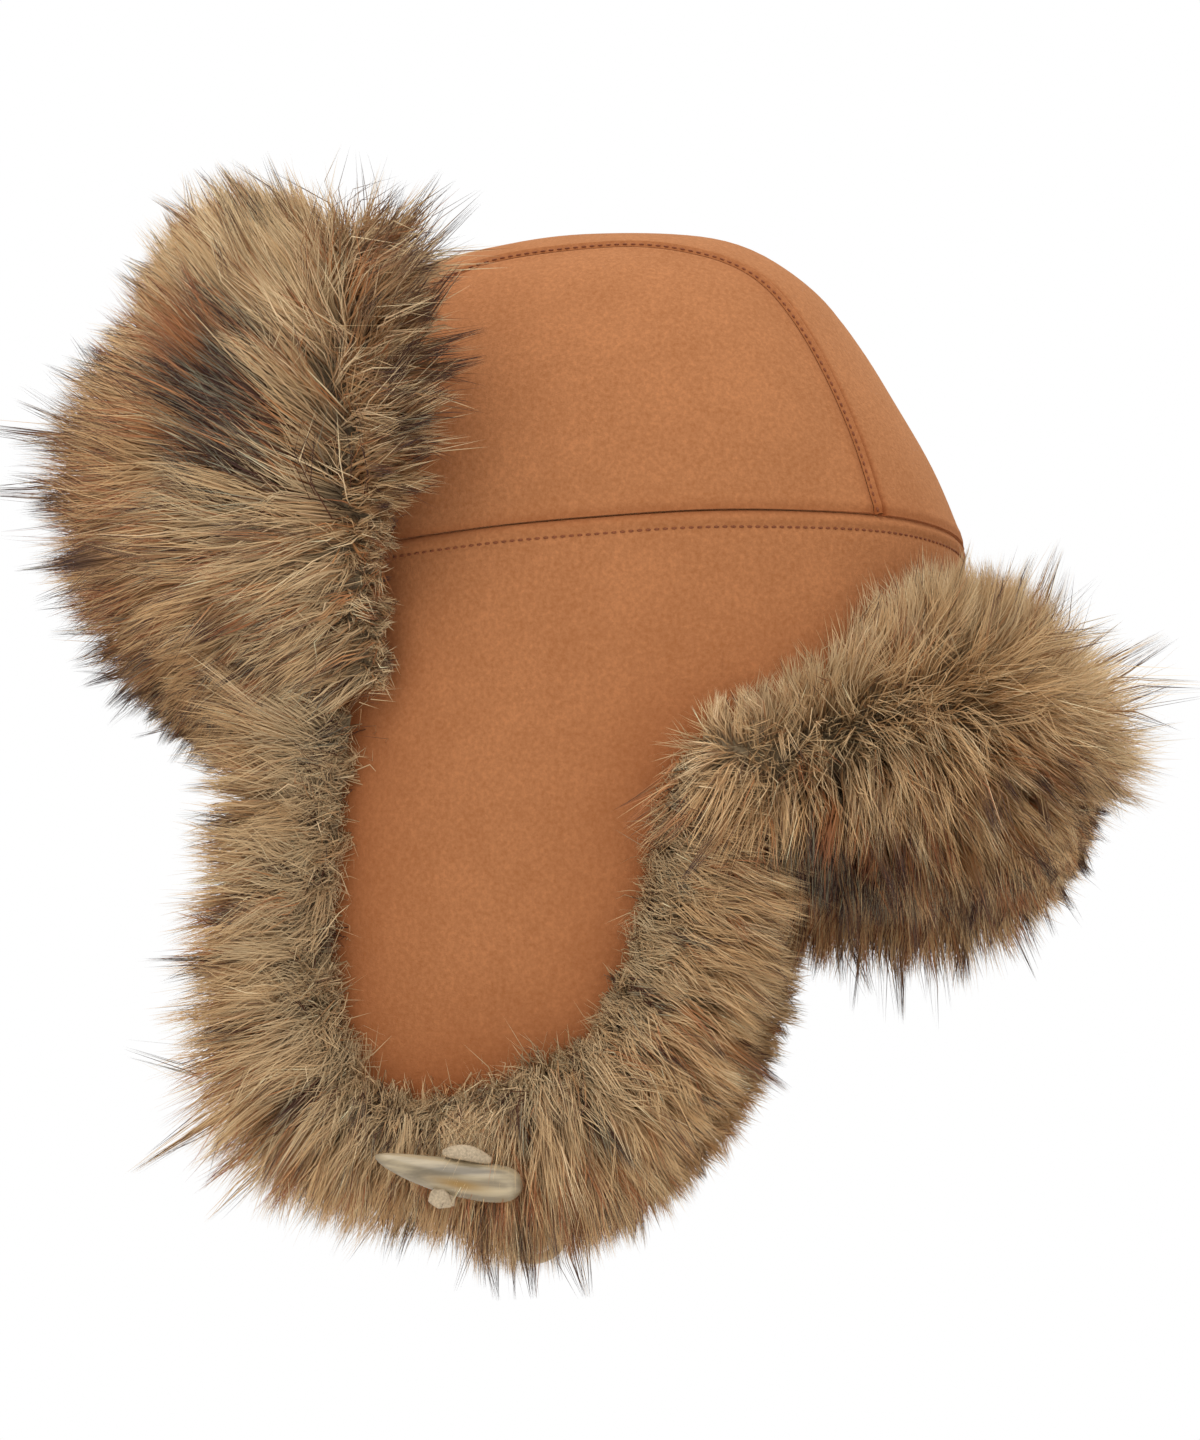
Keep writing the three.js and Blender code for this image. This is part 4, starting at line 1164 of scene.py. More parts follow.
def part_over_strap(strands, tones):
    """Draws many of the strands beside the strap over it, down to the knot, and turns some pale."""
    rng, curves = strands.rng, strands.curves
    knot = toggle_place(0.003, 0.0085, 0.002)
    root = raised(wall_point, TOGGLE["turn"], THONG["root"] - 0.006, 0.004)
    gap = np.linalg.norm(curves[:, 0] - root, axis=1)
    near = np.flatnonzero((gap < 0.012) & (rng.random(strands.count) < 0.55))
    tip = knot + rng.normal(size=(len(near), 3)) * (0.0014, 0.0036, 0.0026)
    start = curves[near, 0]
    middle = (start + tip) / 2 + np.array([0.0055, 0, 0]) + rng.normal(size=(len(near), 3)) * 0.0018
    for k, t in enumerate(strands.steps):
        curves[near, k] = start * (1 - t) ** 2 + 2 * middle * t * (1 - t) + tip * t * t
    tones[near] = np.where(rng.random(len(near)) < 0.35, 0.74 + 0.05 * rng.random(len(near)), tones[near])


def neck_cover(u):
    """How far the neck flap's fur laps over the suede, least at its two ends."""
    aside = 1 - np.abs(2 * u - 1)
    return NECK_COVER["ends"] + (NECK_COVER["middle"] - NECK_COVER["ends"]) * smooth(aside, 0, 0.6)


def make_neck_fur(sizes):
    """The neck flap's fur, denser along its upper border."""
    core = hem_core(neck_hem(), NECK_BUILD, neck_cover, 130, 48)
    upper = 1 - smooth(core["a"] / neck_cover(core["u"]), -1.0, -0.7)
    weight = fur_weight(core) * (1 + 1.6 * upper * (np.abs(2 * core["u"] - 1) < 0.55))
    counts = (sizes.neck_strands, sizes.neck_guard_hairs)
    for name, strands, body in pile_and_guard(core, counts, weight, (0.03, 0.25), SEEDS["neck"]):
        facing, tones, width = comb_neck(strands, sizes)
        make_fur(f"neck_{name}", body, strands, facing, tones, width, "neck_trim")


def comb_neck(strands, sizes):
    """Parts the neck flap's strands: the upper ones lie up over the suede, the others hang."""
    rng, at, count = strands.rng, strands.at, strands.count
    aside = 1 - np.abs(2 * at["u"] - 1)
    place = at["a"] / neck_cover(at["u"])
    outer = smooth(at["height"], -0.002, 0.003)
    lean = np.interp(place, [-1.0, -0.75, -0.5, -0.25, 0.1], [-1.0, -0.55, 0.2, 0.8, 1.0])
    ends = smooth(1 - aside, 0.75, 1.0) * np.sign(at["u"] - 0.5)
    n, away, along = at["normal"], at["away"], at["along"]
    start = n * (0.55 + 0.35 * outer)[:, None] + away * (0.6 * lean)[:, None]
    start = unit(start + strands.stray(0.16, 0.12))
    end = n * 0.45 + away * lean[:, None] + along * (0.5 * ends)[:, None]
    end[:, 2] -= 0.12
    end = unit(end + strands.stray(0.22, 0.12))
    hanging = smooth(place, -0.45, -0.1)
    by_place = np.interp(place, [-1.0, -0.7, -0.4, 0.0, 0.2], [0.62, 0.78, 1.02, 0.92, 0.80])
    by_place = by_place + 0.06 * smooth(aside, 0.45, 0.9) * (1 - smooth(place, -1.0, -0.6))
    by_end = 1 - (0.58 - 0.40 * hanging) * (1 - smooth(aside, 0.0, 0.45))
    by_end *= 1 - 0.72 * hanging * smooth(aside, 0.42, 0.85)
    length = NECK_BUILD["pile"] * by_place * by_end * (0.70 + 0.42 * rng.random(count))
    strands.grow(start, end, length, 0.05 * hanging)
    middle = strands.middle()
    # The underside gets darker and rustier tones, and the neck blot dark ones: painted shade underneath the
    # flap's fur
    under = smooth(-middle[:, 2], 0.045, 0.062)
    shade = blot(middle, "neck")
    amounts = {
        "warm": 0.36 + 0.42 * hanging,
        "rust": 0.05 + 0.12 * hanging + 0.30 * under,
        "dark": np.clip(0.18 * under + 0.60 * shade, 0, 0.8),
        "dark_tip": 0.05 + 0.18 * hanging,
        "pale": 0.07 + 0.22 * smooth(middle[:, 1], 0.105, 0.145),
    }
    tones = tones_for(strands, amounts, 12.0)
    return unit(n + 0.6 * away * np.abs(lean)[:, None]), tones, strands.widths(sizes.strand_width)


def toggle_frame():
    """The toggle's middle and unit vectors along it, up and outwards."""
    middle = raised(wall_point, TOGGLE["turn"], TOGGLE["height"], TOGGLE["standoff"])
    slope = np.radians(TOGGLE["slope"])
    along = np.array([0.0, np.cos(slope), np.sin(slope)])
    out = np.array([1.0, 0.0, 0.0])
    return middle, along, np.cross(out, along), out


def toggle_place(along, up, out):
    """A place so far from the toggle's middle along it, up and outwards."""
    middle, a, u, o = toggle_frame()
    return middle + a * along + u * up + o * out


def make_toggle():
    """The horn toggle, worked from a cylinder whose rings take the sections' sizes."""
    rings, sides = 60, 40
    share = (1 - np.cos(np.linspace(0, np.pi, rings))) / 2
    size = {}
    for name in ("rise", "tall", "deep"):
        size[name] = softened(np.interp(share, TOGGLE_SECTIONS["along"], TOGGLE_SECTIONS[name]))
    turn = np.linspace(0, 2 * np.pi, sides, endpoint=False)
    flutes = 1 + 0.018 * np.sin(9 * turn + 1.0)[None] * smooth(share, 0.1, 0.4)[:, None]
    middle, along, up, out = toggle_frame()
    centre = middle + along * ((share - TOGGLE["middle"]) * TOGGLE["length"])[:, None]
    tall = (size["tall"] / 2)[:, None] * np.sin(turn)[None] * flutes
    deep = (size["deep"] / 2)[:, None] * np.cos(turn)[None] * flutes
    points = centre[:, None] + up * (size["rise"][:, None] + tall)[..., None] + out * deep[..., None]
    piece = ring_object("toggle_horn", points)
    along_mark = np.exp(-(((share - 0.60) / 0.17) ** 2))[:, None]
    around_mark = np.exp(-((np.degrees(turn) - 338) / 16) ** 2)[None]
    # ends and under make the edge mask: painted shade at the toggle's ends and underneath
    ends = smooth(np.abs(share - 0.5), 0.42, 0.5)[:, None]
    under = smooth(-np.sin(turn), 0.55, 0.95)[None]
    masks = {"marking": along_mark * around_mark, "edge": np.maximum(0.6 * ends, 0.55 * under)}
    for name, values in masks.items():
        flat = np.broadcast_to(values, points.shape[:2]).reshape(-1)
        set_attribute(piece, name, np.concatenate([flat, [0.6, 0.6]]))
    cut_hole(piece)
    smooth_shade(piece, 50)
    settle(piece, "toggle_horn", "horn", "toggle")


def softened(values):
    """A row of values, each the mean of seven neighbours."""
    padded = np.pad(values, 3, mode="edge")
    return np.convolve(padded, np.ones(7) / 7, mode="valid")


def ring_object(name, points):
    """A closed body through rings of points, from a cylinder primitive with its ends capped."""
    deselect_all()
    bpy.ops.mesh.primitive_cylinder_add(vertices=points.shape[1], radius=0.01, depth=0.01)
    piece = added_piece(name)
    quads, ends = core_faces(*points.shape[:2])
    corners = np.concatenate([quads.reshape(-1), ends.reshape(-1)])
    sides = np.concatenate([np.full(len(quads), 4), np.full(len(ends), 3)])
    replace_mesh(piece.data, with_ends(points), sides, corners)
    drop_uv_maps(piece.data)
    edit_all(bpy.ops.mesh.normals_make_consistent, inside=False)
    return piece


def cut_hole(horn):
    """The hole for the thong, straight through the toggle's middle."""
    _, along, up, out = toggle_frame()
    deselect_all()
    bpy.ops.mesh.primitive_cube_add(size=1.0)
    tool = bpy.context.object
    corners = np.empty(24)
    tool.data.vertices.foreach_get("co", corners)
    corners = corners.reshape(-1, 3) * (THONG["width"] + 0.0008, THONG["thick"] + 0.0008, 0.03)
    centre = toggle_place((TOGGLE["hole"] - TOGGLE["middle"]) * TOGGLE["length"], 0.0, 0.0)
    placed = centre + corners[:, :1] * along + corners[:, 1:2] * out + corners[:, 2:] * up
    move_points(tool.data, placed)
    apply_modifier(horn, "BOOLEAN", operation="DIFFERENCE", object=tool, solver="EXACT")
    bpy.data.objects.remove(tool)


def smooth_line(corners, count):
    """A smooth line through corner points."""
    corners = np.asarray(corners, float)
    padded = np.concatenate([corners[:1] * 2 - corners[1:2], corners, corners[-1:] * 2 - corners[-2:-1]])
    line = []
    for i in range(1, len(padded) - 2):
        a, b, c, d = padded[i - 1 : i + 3]
        t = np.linspace(0, 1, count, endpoint=False)[:, None]
        line.append(spline(a, b, c, d, t))
    return np.concatenate(line + [corners[-1:]])


def band_body(line, wide, thick, side, shape):
    """A flat band along a line: oval sections with their width along side, sized by shape."""
    direction = unit(np.gradient(line, axis=0))
    across = unit(side - direction * (direction @ side)[:, None])
    deep = np.cross(across, direction)
    turn = np.linspace(0, 2 * np.pi, 14, endpoint=False)
    c, s = np.cos(turn), np.sin(turn)
    flat = np.sign(c) * np.abs(c) ** 0.6, np.sign(s) * np.abs(s) ** 0.6
    return (
        line[:, None]
        + across[:, None] * (wide / 2 * shape[:, None] * flat[0])[..., None]
        + deep[:, None] * (thick / 2 * shape[:, None] * flat[1])[..., None]
    )


def strap_line():
    """The strap's course, from the suede over the fur down through the toggle's hole."""
    hole = (TOGGLE["hole"] - TOGGLE["middle"]) * TOGGLE["length"]
    turn, root = TOGGLE["turn"], THONG["root"]
    corners = [
        raised(wall_point, turn, root - 0.005, 0.0004 + THONG["thick"] / 2 + 0.0002),
        raised(wall_point, turn, root - 0.009, 0.009),
        raised(wall_point, turn, root - 0.012, 0.017),
        toggle_place(hole, 0.007, 0.0),
        toggle_place(hole, 0.005, 0.0),
    ]
    return smooth_line(corners, 12), hole


def make_thong():
    """The thong: strap, knot on top of the toggle and tail below it, and the right flap's loop."""
    strap, hole = strap_line()
    _, along, up, _ = toggle_frame()
    through = np.linspace(toggle_place(hole, 0.0048, 0), toggle_place(hole, -0.0075, 0), 10)
    course = np.concatenate([strap, through])
    even = np.ones(len(course))
    parts = [band_body(course, THONG["width"], THONG["thick"], along, even)]
    knot_places = ((-0.0040, 0.0058, 0.0015), (0.0022, 0.0066, 0.0026), (0.0088, 0.0056, 0.0015))
    knot = smooth_line([toggle_place(*place) for place in knot_places], 10)
    lobe = np.sin(np.linspace(0.16, np.pi - 0.16, len(knot))) ** 0.55
    parts.append(band_body(knot, 0.0042, 0.004, up, lobe))
    tail_places = ((-0.0050, -0.0042, 0.0015), (-0.0030, -0.0060, 0.0018), (0.0004, -0.0076, 0.001))
    tail = smooth_line([toggle_place(*place) for place in tail_places], 10)
    point = np.interp(np.linspace(0, 1, len(tail)), [0, 0.3, 0.7, 1], [0.3, 1.0, 0.85, 0.12])
    parts.append(band_body(tail, 0.0056, 0.0018, along + up, point))
    join_bodies("toggle_thong_leather", parts, "toggle_thong")
    ring_turn = np.linspace(0, 2 * np.pi, 49)[:-1]
    centre = toggle_place(hole, 0.005 - LOOP["radius"], 0)
    ring = centre + LOOP["radius"] * np.stack([0 * ring_turn, np.sin(ring_turn), np.cos(ring_turn)], -1)
    closed = cord_ring(ring, LOOP["cord"])
    even = np.ones(len(strap))
    mirrored = [band_body(strap, THONG["width"], THONG["thick"], along, even) * (-1, 1, 1)]
    join_bodies("closure_loop_leather", mirrored, "closure_loop", closed * (-1, 1, 1))


def cord_ring(line, radius):
    """Rings of points round a closed line."""
    direction = unit(np.roll(line, -1, 0) - np.roll(line, 1, 0))
    side = np.array([1.0, 0.0, 0.0])
    other = np.cross(direction, side)
    turn = np.linspace(0, 2 * np.pi, 12, endpoint=False)
    return line[:, None] + radius * (
        side * np.cos(turn)[None, :, None] + other[:, None] * np.sin(turn)[None, :, None]
    )


def join_bodies(name, parts, node, closed=None):
    """Several overlapping bodies joined into one skin."""
    pieces = [ring_object(f"{name}_{k}", part) for k, part in enumerate(parts)]
    if closed is not None:
        pieces.append(torus_object(f"{name}_ring", closed))
    first = pieces[0]
    for other in pieces[1:]:
        apply_modifier(first, "BOOLEAN", operation="UNION", object=other, solver="EXACT")
        bpy.data.objects.remove(other)
    first.name = first.data.name = name
    smooth_shade(first, 50)
    settle(first, "thong_leather", "thong", node)


def torus_object(name, rings):
    """A closed ring of cord from its table of points."""
    count, sides = rings.shape[:2]
    deselect_all()
    bpy.ops.mesh.primitive_torus_add(
        major_segments=count, minor_segments=sides, major_radius=0.01, minor_radius=0.002
    )
    piece = added_piece(name)
    move_points(piece.data, rings)
    edit_all(bpy.ops.mesh.normals_make_consistent, inside=False)
    return piece


def new_material(name):
    """An empty material's node tree, its Principled BSDF and a helper that adds nodes."""
    material = bpy.data.materials.new(name)
    material.use_nodes = True
    tree = material.node_tree

    def add(kind, **settings):
        node = tree.nodes.new(kind)
        for key, value in settings.items():
            setattr(node, key, value)
        return node

    return tree, tree.nodes["Principled BSDF"], add


def set_inputs(node, values):
    for name, value in values.items():
        node.inputs[name].default_value = value


def ramped(tree, add, factor, stops):
    """A colour ramp's colour for a factor, with its stops as pairs of place and colour."""
    node = add("ShaderNodeValToRGB")
    tree.links.new(factor, node.inputs["Fac"])
    ramp = node.color_ramp
    while len(ramp.elements) > 1:
        ramp.elements.remove(ramp.elements[-1])
    ramp.elements[0].position, ramp.elements[0].color = stops[0][0], (*stops[0][1], 1)
    for place, colour in stops[1:]:
        ramp.elements.new(place).color = (*colour, 1)
    return node.outputs["Color"]


def blended(tree, add, factor, first, second):
    """Two colours mixed by a factor. Each of them is a socket or a fixed colour."""
    mix = add("ShaderNodeMix", data_type="RGBA")
    tree.links.new(factor, mix.inputs[0])
    for value, socket in ((first, mix.inputs[6]), (second, mix.inputs[7])):
        if isinstance(value, tuple):
            socket.default_value = (*value, 1)
        else:
            tree.links.new(value, socket)
    return mix.outputs[2]


def linear(code):
    """A colour code such as b9764a as linear red, green and blue."""
    parts = [int(code[k : k + 2], 16) / 255 for k in (0, 2, 4)]
    return tuple(v / 12.92 if v <= 0.04045 else ((v + 0.055) / 1.055) ** 2.4 for v in parts)


def nap_group():
    """A shared effect: the mottled nap of a brushed skin, as a mask and a fine height."""
    group = bpy.data.node_groups.new("brushed_nap", "ShaderNodeTree")
    socket = group.interface.new_socket
    socket("Vector", in_out="INPUT", socket_type="NodeSocketVector")
    socket("Scale", in_out="INPUT", socket_type="NodeSocketFloat").default_value = 1.0
    socket("Mask", in_out="OUTPUT", socket_type="NodeSocketFloat")
    socket("Height", in_out="OUTPUT", socket_type="NodeSocketFloat")
    nodes, links = group.nodes, group.links
    enter, leave = nodes.new("NodeGroupInput"), nodes.new("NodeGroupOutput")
    sized = nodes.new("ShaderNodeVectorMath")
    sized.operation = "SCALE"
    links.new(enter.outputs["Vector"], sized.inputs[0])
    links.new(enter.outputs["Scale"], sized.inputs["Scale"])
    found = []
    for scale, detail, roughness in ((800.0, 3.0, 0.65), (60.0, 3.0, 0.5), (2200.0, 2.0, 0.5)):
        noise = nodes.new("ShaderNodeTexNoise")
        set_inputs(noise, {"Scale": scale, "Detail": detail, "Roughness": roughness})
        links.new(sized.outputs[0], noise.inputs["Vector"])
        found.append(noise.outputs["Fac"])
    grain, cloud, fine = found
    for share, other, name in ((0.24, cloud, "Mask"), (0.6, fine, "Height")):
        mix = nodes.new("ShaderNodeMix")
        mix.inputs[0].default_value = share
        links.new(grain, mix.inputs[2])
        links.new(other, mix.inputs[3])
        links.new(mix.outputs[0], leave.inputs[name])


def nap_nodes(tree, add, scale):
    """The nap effect in a material, on Object coordinates."""
    coordinates = add("ShaderNodeTexCoord")
    nap = add("ShaderNodeGroup", node_tree=bpy.data.node_groups["brushed_nap"])
    nap.inputs["Scale"].default_value = scale
    tree.links.new(coordinates.outputs["Object"], nap.inputs["Vector"])
    return nap


def add_bump(tree, add, shader, height, strength, distance):
    bump = add("ShaderNodeBump")
    set_inputs(bump, {"Strength": strength, "Distance": distance})
    tree.links.new(height, bump.inputs["Height"])
    tree.links.new(bump.outputs["Normal"], shader.inputs["Normal"])


def shaded(colour, factor):
    """A fixed colour, darker or paler than the one given."""
    return tuple(min(value * factor, 1.0) for value in colour)


def suede_material(colours):
    """Brushed suede: mottled by the nap, and darker where the panels' attribute of wear and painted shade
    says so.
    """
    tree, shader, add = new_material("brushed_suede")
    nap = nap_nodes(tree, add, 1.0)
    deep = tuple(value * share for value, share in zip(colours.suede, (0.86, 0.80, 0.72)))
    stops = [(0.34, deep), (0.5, shaded(colours.suede, 0.98)), (0.66, shaded(colours.suede, 1.18))]
    mottled = ramped(tree, add, nap.outputs["Mask"], stops)
    wear_and_shade = add("ShaderNodeAttribute", attribute_name="wear_and_shade")
    colour = blended(tree, add, wear_and_shade.outputs["Fac"], mottled, tuple(colours.worn_and_shaded_suede))
    tree.links.new(colour, shader.inputs["Base Color"])
    set_inputs(shader, {"Roughness": 0.95, "Specular IOR Level": 0.12, "Sheen Weight": 0.35})
    set_inputs(shader, {"Sheen Roughness": 0.45, "Sheen Tint": (*linear("e0a878"), 1)})
    add_bump(tree, add, shader, nap.outputs["Height"], 0.5, 0.0006)


# The fur's tones: where each sits in the UV map's U, and its colours from root to tip
FUR_TONES = (
    (0.00, ("625943", "887b5d", "a19476")),
    (0.16, ("695d48", "947f5e", "a99570")),
    (0.30, ("6b5b45", "997f59", "ac9066")),
    (0.42, ("64563f", "947750", "9d7a52")),
    (0.50, ("625440", "8a6b47", "33231f")),
    (0.58, ("69563e", "9a7046", "8e5f3c")),
    (0.68, ("5c4a38", "895b38", "65412d")),
    (0.76, ("80735a", "b09b78", "bdab86")),
    (0.88, ("8f8468", "c6b28d", "d8c5a2")),
    (0.96, ("33271d", "412718", "30201c")),
)
# A touch of red over all of them
FUR_TINT = (1.035, 0.965, 0.965)
# Where along a strand its root's colour turns into its middle's, and that into its tip's
MIDDLE_FROM, MIDDLE_TO = 0.0, 0.42
TIP_FROM, TIP_TO = 0.42, 0.86


def fur_material(colours):
    """Fur whose colour depends on its UV map alone: the tone along U, root to tip along V."""
    tree, shader, add = new_material("faux_fur")
    uv = add("ShaderNodeUVMap", uv_map="OFBake")
    parts = add("ShaderNodeSeparateXYZ")
    tree.links.new(uv.outputs["UV"], parts.inputs[0])
    levels = []
    for k in range(3):
        stops = [(place, brighter(linear(codes[k]), colours.fur_gain)) for place, codes in FUR_TONES]
        levels.append(ramped(tree, add, parts.outputs["X"], stops))
    colour = levels[0]
    for level, low, high in ((levels[1], MIDDLE_FROM, MIDDLE_TO), (levels[2], TIP_FROM, TIP_TO)):
        share = add("ShaderNodeMapRange", interpolation_type="SMOOTHSTEP")
        set_inputs(share, {"From Min": low, "From Max": high})
        tree.links.new(parts.outputs["Y"], share.inputs["Value"])
        colour = blended(tree, add, share.outputs["Result"], colour, level)
    tree.links.new(colour, shader.inputs["Base Color"])
    set_inputs(shader, {"Roughness": 0.6, "Specular IOR Level": 0.25})


def brighter(colour, gain):
    """A colour as pale as makes up for the shadows between the strands, and no paler than white."""
    return tuple(min(value * gain * tint, 0.9) for value, tint in zip(colour, FUR_TINT))


def horn_material(colours):
    """Streaked horn with a brown mark, and painted shade that makes it dull and darker at its ends and
    underneath.
    """
    tree, shader, add = new_material("toggle_horn")
    coordinates = add("ShaderNodeTexCoord")
    stretch = add("ShaderNodeMapping")
    stretch.inputs["Scale"].default_value = (260.0, 40.0, 330.0)
    tree.links.new(coordinates.outputs["Object"], stretch.inputs["Vector"])
    streaks = add("ShaderNodeTexNoise")
    set_inputs(streaks, {"Scale": 1.0, "Detail": 4.0})
    tree.links.new(stretch.outputs["Vector"], streaks.inputs["Vector"])
    levels = ((0.32, 0.42), (0.42, 0.66), (0.54, 1.0), (0.70, 1.25))
    stops = [(place, shaded(colours.horn, level)) for place, level in levels]
    streaked = ramped(tree, add, streaks.outputs["Fac"], stops)
    marking = add("ShaderNodeAttribute", attribute_name="marking")
    marked = blended(tree, add, marking.outputs["Fac"], streaked, tuple(colours.horn_marking))
    # The edge attribute paints shade at the toggle's ends and underneath
    edge = add("ShaderNodeAttribute", attribute_name="edge")
    colour = blended(tree, add, edge.outputs["Fac"], marked, linear("7c6a4e"))
    tree.links.new(colour, shader.inputs["Base Color"])
    set_inputs(shader, {"Roughness": 0.36, "Coat Weight": 0.25, "Coat Roughness": 0.15})
    add_bump(tree, add, shader, streaks.outputs["Fac"], 0.15, 0.0003)


def napped_material(name, colour, scale, roughness, bump):
    """A material in one colour, mottled by the nap and rough with it where bump is above 0."""
    tree, shader, add = new_material(name)
    nap = nap_nodes(tree, add, scale)
    stops = [(0.35, shaded(colour, 0.6)), (0.6, shaded(colour, 1.0))]
    mottled = ramped(tree, add, nap.outputs["Mask"], stops)
    tree.links.new(mottled, shader.inputs["Base Color"])
    shader.inputs["Roughness"].default_value = roughness
    if bump > 0:
        add_bump(tree, add, shader, nap.outputs["Height"], bump, 0.0003)


# Disks of light that look at the hat's middle: their places, sizes and powers
LIGHTS = {
    "key_light": {"place": (1.35, -0.35, 1.3), "size": 1.2, "power": 8.5},
    "fill_light": {"place": (1.2, 0.9, 0.1), "size": 1.2, "power": 2.0},
    "top_light": {"place": (0.1, -0.3, 1.6), "size": 1.0, "power": 8.0},
}


def aim(thing, back):
    """Turns a light or camera to look the way that is opposite to back."""
    thing.rotation_euler = (-Vector(back)).to_track_quat("-Z", "Y").to_euler()


def add_area_light(name, place, size, power):
    bpy.ops.object.light_add(type="AREA", location=place)
    light = bpy.context.object
    light.name = name
    light.data.shape = "DISK"
    light.data.size = size
    light.data.energy = power
    aim(light, place)


def make_stage():
    """The floor, the sky, the lights and the camera. The camera sees the sky as plain white."""
    scene = bpy.context.scene
    deselect_all()
    bpy.ops.mesh.primitive_circle_add(
        vertices=96, radius=4.0, fill_type="NGON", location=(0, 0, FLOOR_HEIGHT)
    )
    floor = bpy.context.object
    floor.name = "floor"
    _, shader, _ = new_material("pale_floor")
    set_inputs(shader, {"Base Color": (0.9, 0.9, 0.9, 1), "Roughness": 0.9})
    floor.data.materials.append(bpy.data.materials["pale_floor"])
    world = scene.world or bpy.data.worlds.new("studio")
    scene.world = world
    world.use_nodes = True
    nodes, links = world.node_tree.nodes, world.node_tree.links
    background = nodes["Background"]
    background.inputs["Color"].default_value = (1, 1, 1, 1)
    seen = nodes.new("ShaderNodeLightPath")
    level = nodes.new("ShaderNodeMapRange")
    set_inputs(level, {"To Min": SKY_LIGHT, "To Max": 1.0})
    links.new(seen.outputs["Is Camera Ray"], level.inputs["Value"])
    links.new(level.outputs["Result"], background.inputs["Strength"])
    for name, light in LIGHTS.items():
        add_area_light(name, **light)
    a, e = np.radians(CAMERA["azimuth"]), np.radians(CAMERA["elevation"])
    back = Vector((np.sin(a) * np.cos(e), -np.cos(a) * np.cos(e), np.sin(e)))
    bpy.ops.object.camera_add(location=Vector(CAMERA["target"]) + back * CAMERA["distance"])
    camera = bpy.context.object
    camera.name = "camera"
    aim(camera, back)
    camera.data.sensor_fit = "VERTICAL"
    camera.data.sensor_height = 36.0
    camera.data.lens = CAMERA["lens"]
    camera.data.clip_end = 20.0
    scene.camera = camera
    scene.view_settings.view_transform = "Standard"


# What the properties for lengths and for colours have in common
LENGTH = {"subtype": "DISTANCE", "unit": "LENGTH"}
COLOUR = {"subtype": "COLOR", "size": 3, "min": 0, "max": 1}


class HatSizes(bpy.types.PropertyGroup):
    softness: bpy.props.FloatProperty(
        name="Softness", description="Height of the suede's slow dents", default=0.00045, **LENGTH
    )
    stitch_pitch: bpy.props.FloatProperty(
        name="Stitch pitch", description="From one stitch to the next", default=0.0023, **LENGTH
    )
    stitch_length: bpy.props.FloatProperty(
        name="Stitch length", description="Length of a stitch", default=0.0015, **LENGTH
    )
    stitch_width: bpy.props.FloatProperty(
        name="Stitch width", description="Width of a stitch", default=0.0007, **LENGTH
    )
    strand_width: bpy.props.FloatProperty(
        name="Strand width", description="Width of a strand of fur", default=0.00036, **LENGTH
    )
    front_strands: bpy.props.IntProperty(
        name="Front flap's strands", description="Strands on the front flap", default=56000
    )
    front_guard_hairs: bpy.props.IntProperty(
        name="Front flap's guard hairs", description="Longer hairs on the front flap", default=16000
    )
    ear_strands: bpy.props.IntProperty(
        name="Ear flap's strands", description="Strands on each ear flap", default=46000
    )
    ear_guard_hairs: bpy.props.IntProperty(
        name="Ear flap's guard hairs", description="Longer hairs on each ear flap", default=5000
    )
    neck_strands: bpy.props.IntProperty(
        name="Neck flap's strands", description="Strands on the neck flap", default=56000
    )
    neck_guard_hairs: bpy.props.IntProperty(
        name="Neck flap's guard hairs", description="Longer hairs on the neck flap", default=9000
    )


class HatColours(bpy.types.PropertyGroup):
    suede: bpy.props.FloatVectorProperty(
        name="Suede", description="Colour of the suede", default=linear("b0744a"), **COLOUR
    )
    # The colour that the suede turns to near seams and hems, partly from wear and partly painted shade
    worn_and_shaded_suede: bpy.props.FloatVectorProperty(
        name="Worn suede", description="Suede beside seams and hems", default=linear("935029"), **COLOUR
    )
    thread: bpy.props.FloatVectorProperty(
        name="Thread", description="Colour of the stitches", default=linear("8c4c28"), **COLOUR
    )
    horn: bpy.props.FloatVectorProperty(
        name="Horn", description="Colour of the toggle", default=linear("b4a282"), **COLOUR
    )
    horn_marking: bpy.props.FloatVectorProperty(
        name="Horn's marking", description="The brown mark on the toggle", default=linear("9a7430"), **COLOUR
    )
    leather: bpy.props.FloatVectorProperty(
        name="Leather", description="Colour of the thong and the loop", default=linear("c8b292"), **COLOUR
    )
    fur_gain: bpy.props.FloatProperty(
        name="Fur's brightness",
        description="How much paler the strands are than the fur looks",
        default=1.7,
        min=0.5,
        max=3,
    )


class HAT_OT_materials(bpy.types.Operator):
    """Make the suede, fur, horn, leather and thread"""

    bl_idname = "hat.materials"
    bl_label = "Materials"

    def execute(self, context):
        colours = context.scene.hat_colours
        nap_group()
        suede_material(colours)
        fur_material(colours)
        horn_material(colours)
        napped_material("thong_leather", colours.leather, 2.0, 0.6, 0.3)
        napped_material("sewing_thread", colours.thread, 3.0, 0.8, 0.0)
        return {"FINISHED"}


class HAT_OT_stage(bpy.types.Operator):
    """Set up the floor, the lights and the camera"""

    bl_idname = "hat.stage"
    bl_label = "Stage"

    def execute(self, context):
        make_stage()
        return {"FINISHED"}


class HAT_OT_crown(bpy.types.Operator):
    """Make the three panels of the crown"""

    bl_idname = "hat.crown"
    bl_label = "Crown"

    def execute(self, context):
        make_crown(context.scene.hat_sizes)
        return {"FINISHED"}


class HAT_OT_side_panels(bpy.types.Operator):
    """Make the band, the ear flaps and the neck flap"""

    bl_idname = "hat.side_panels"
    bl_label = "Side panels"

    def execute(self, context):
        make_side_panels(context.scene.hat_sizes)
        return {"FINISHED"}


class HAT_OT_stitching(bpy.types.Operator):
    """Sew the rows of stitches"""

    bl_idname = "hat.stitching"
    bl_label = "Stitching"

    def execute(self, context):
        make_stitching(context.scene.hat_sizes)
        return {"FINISHED"}


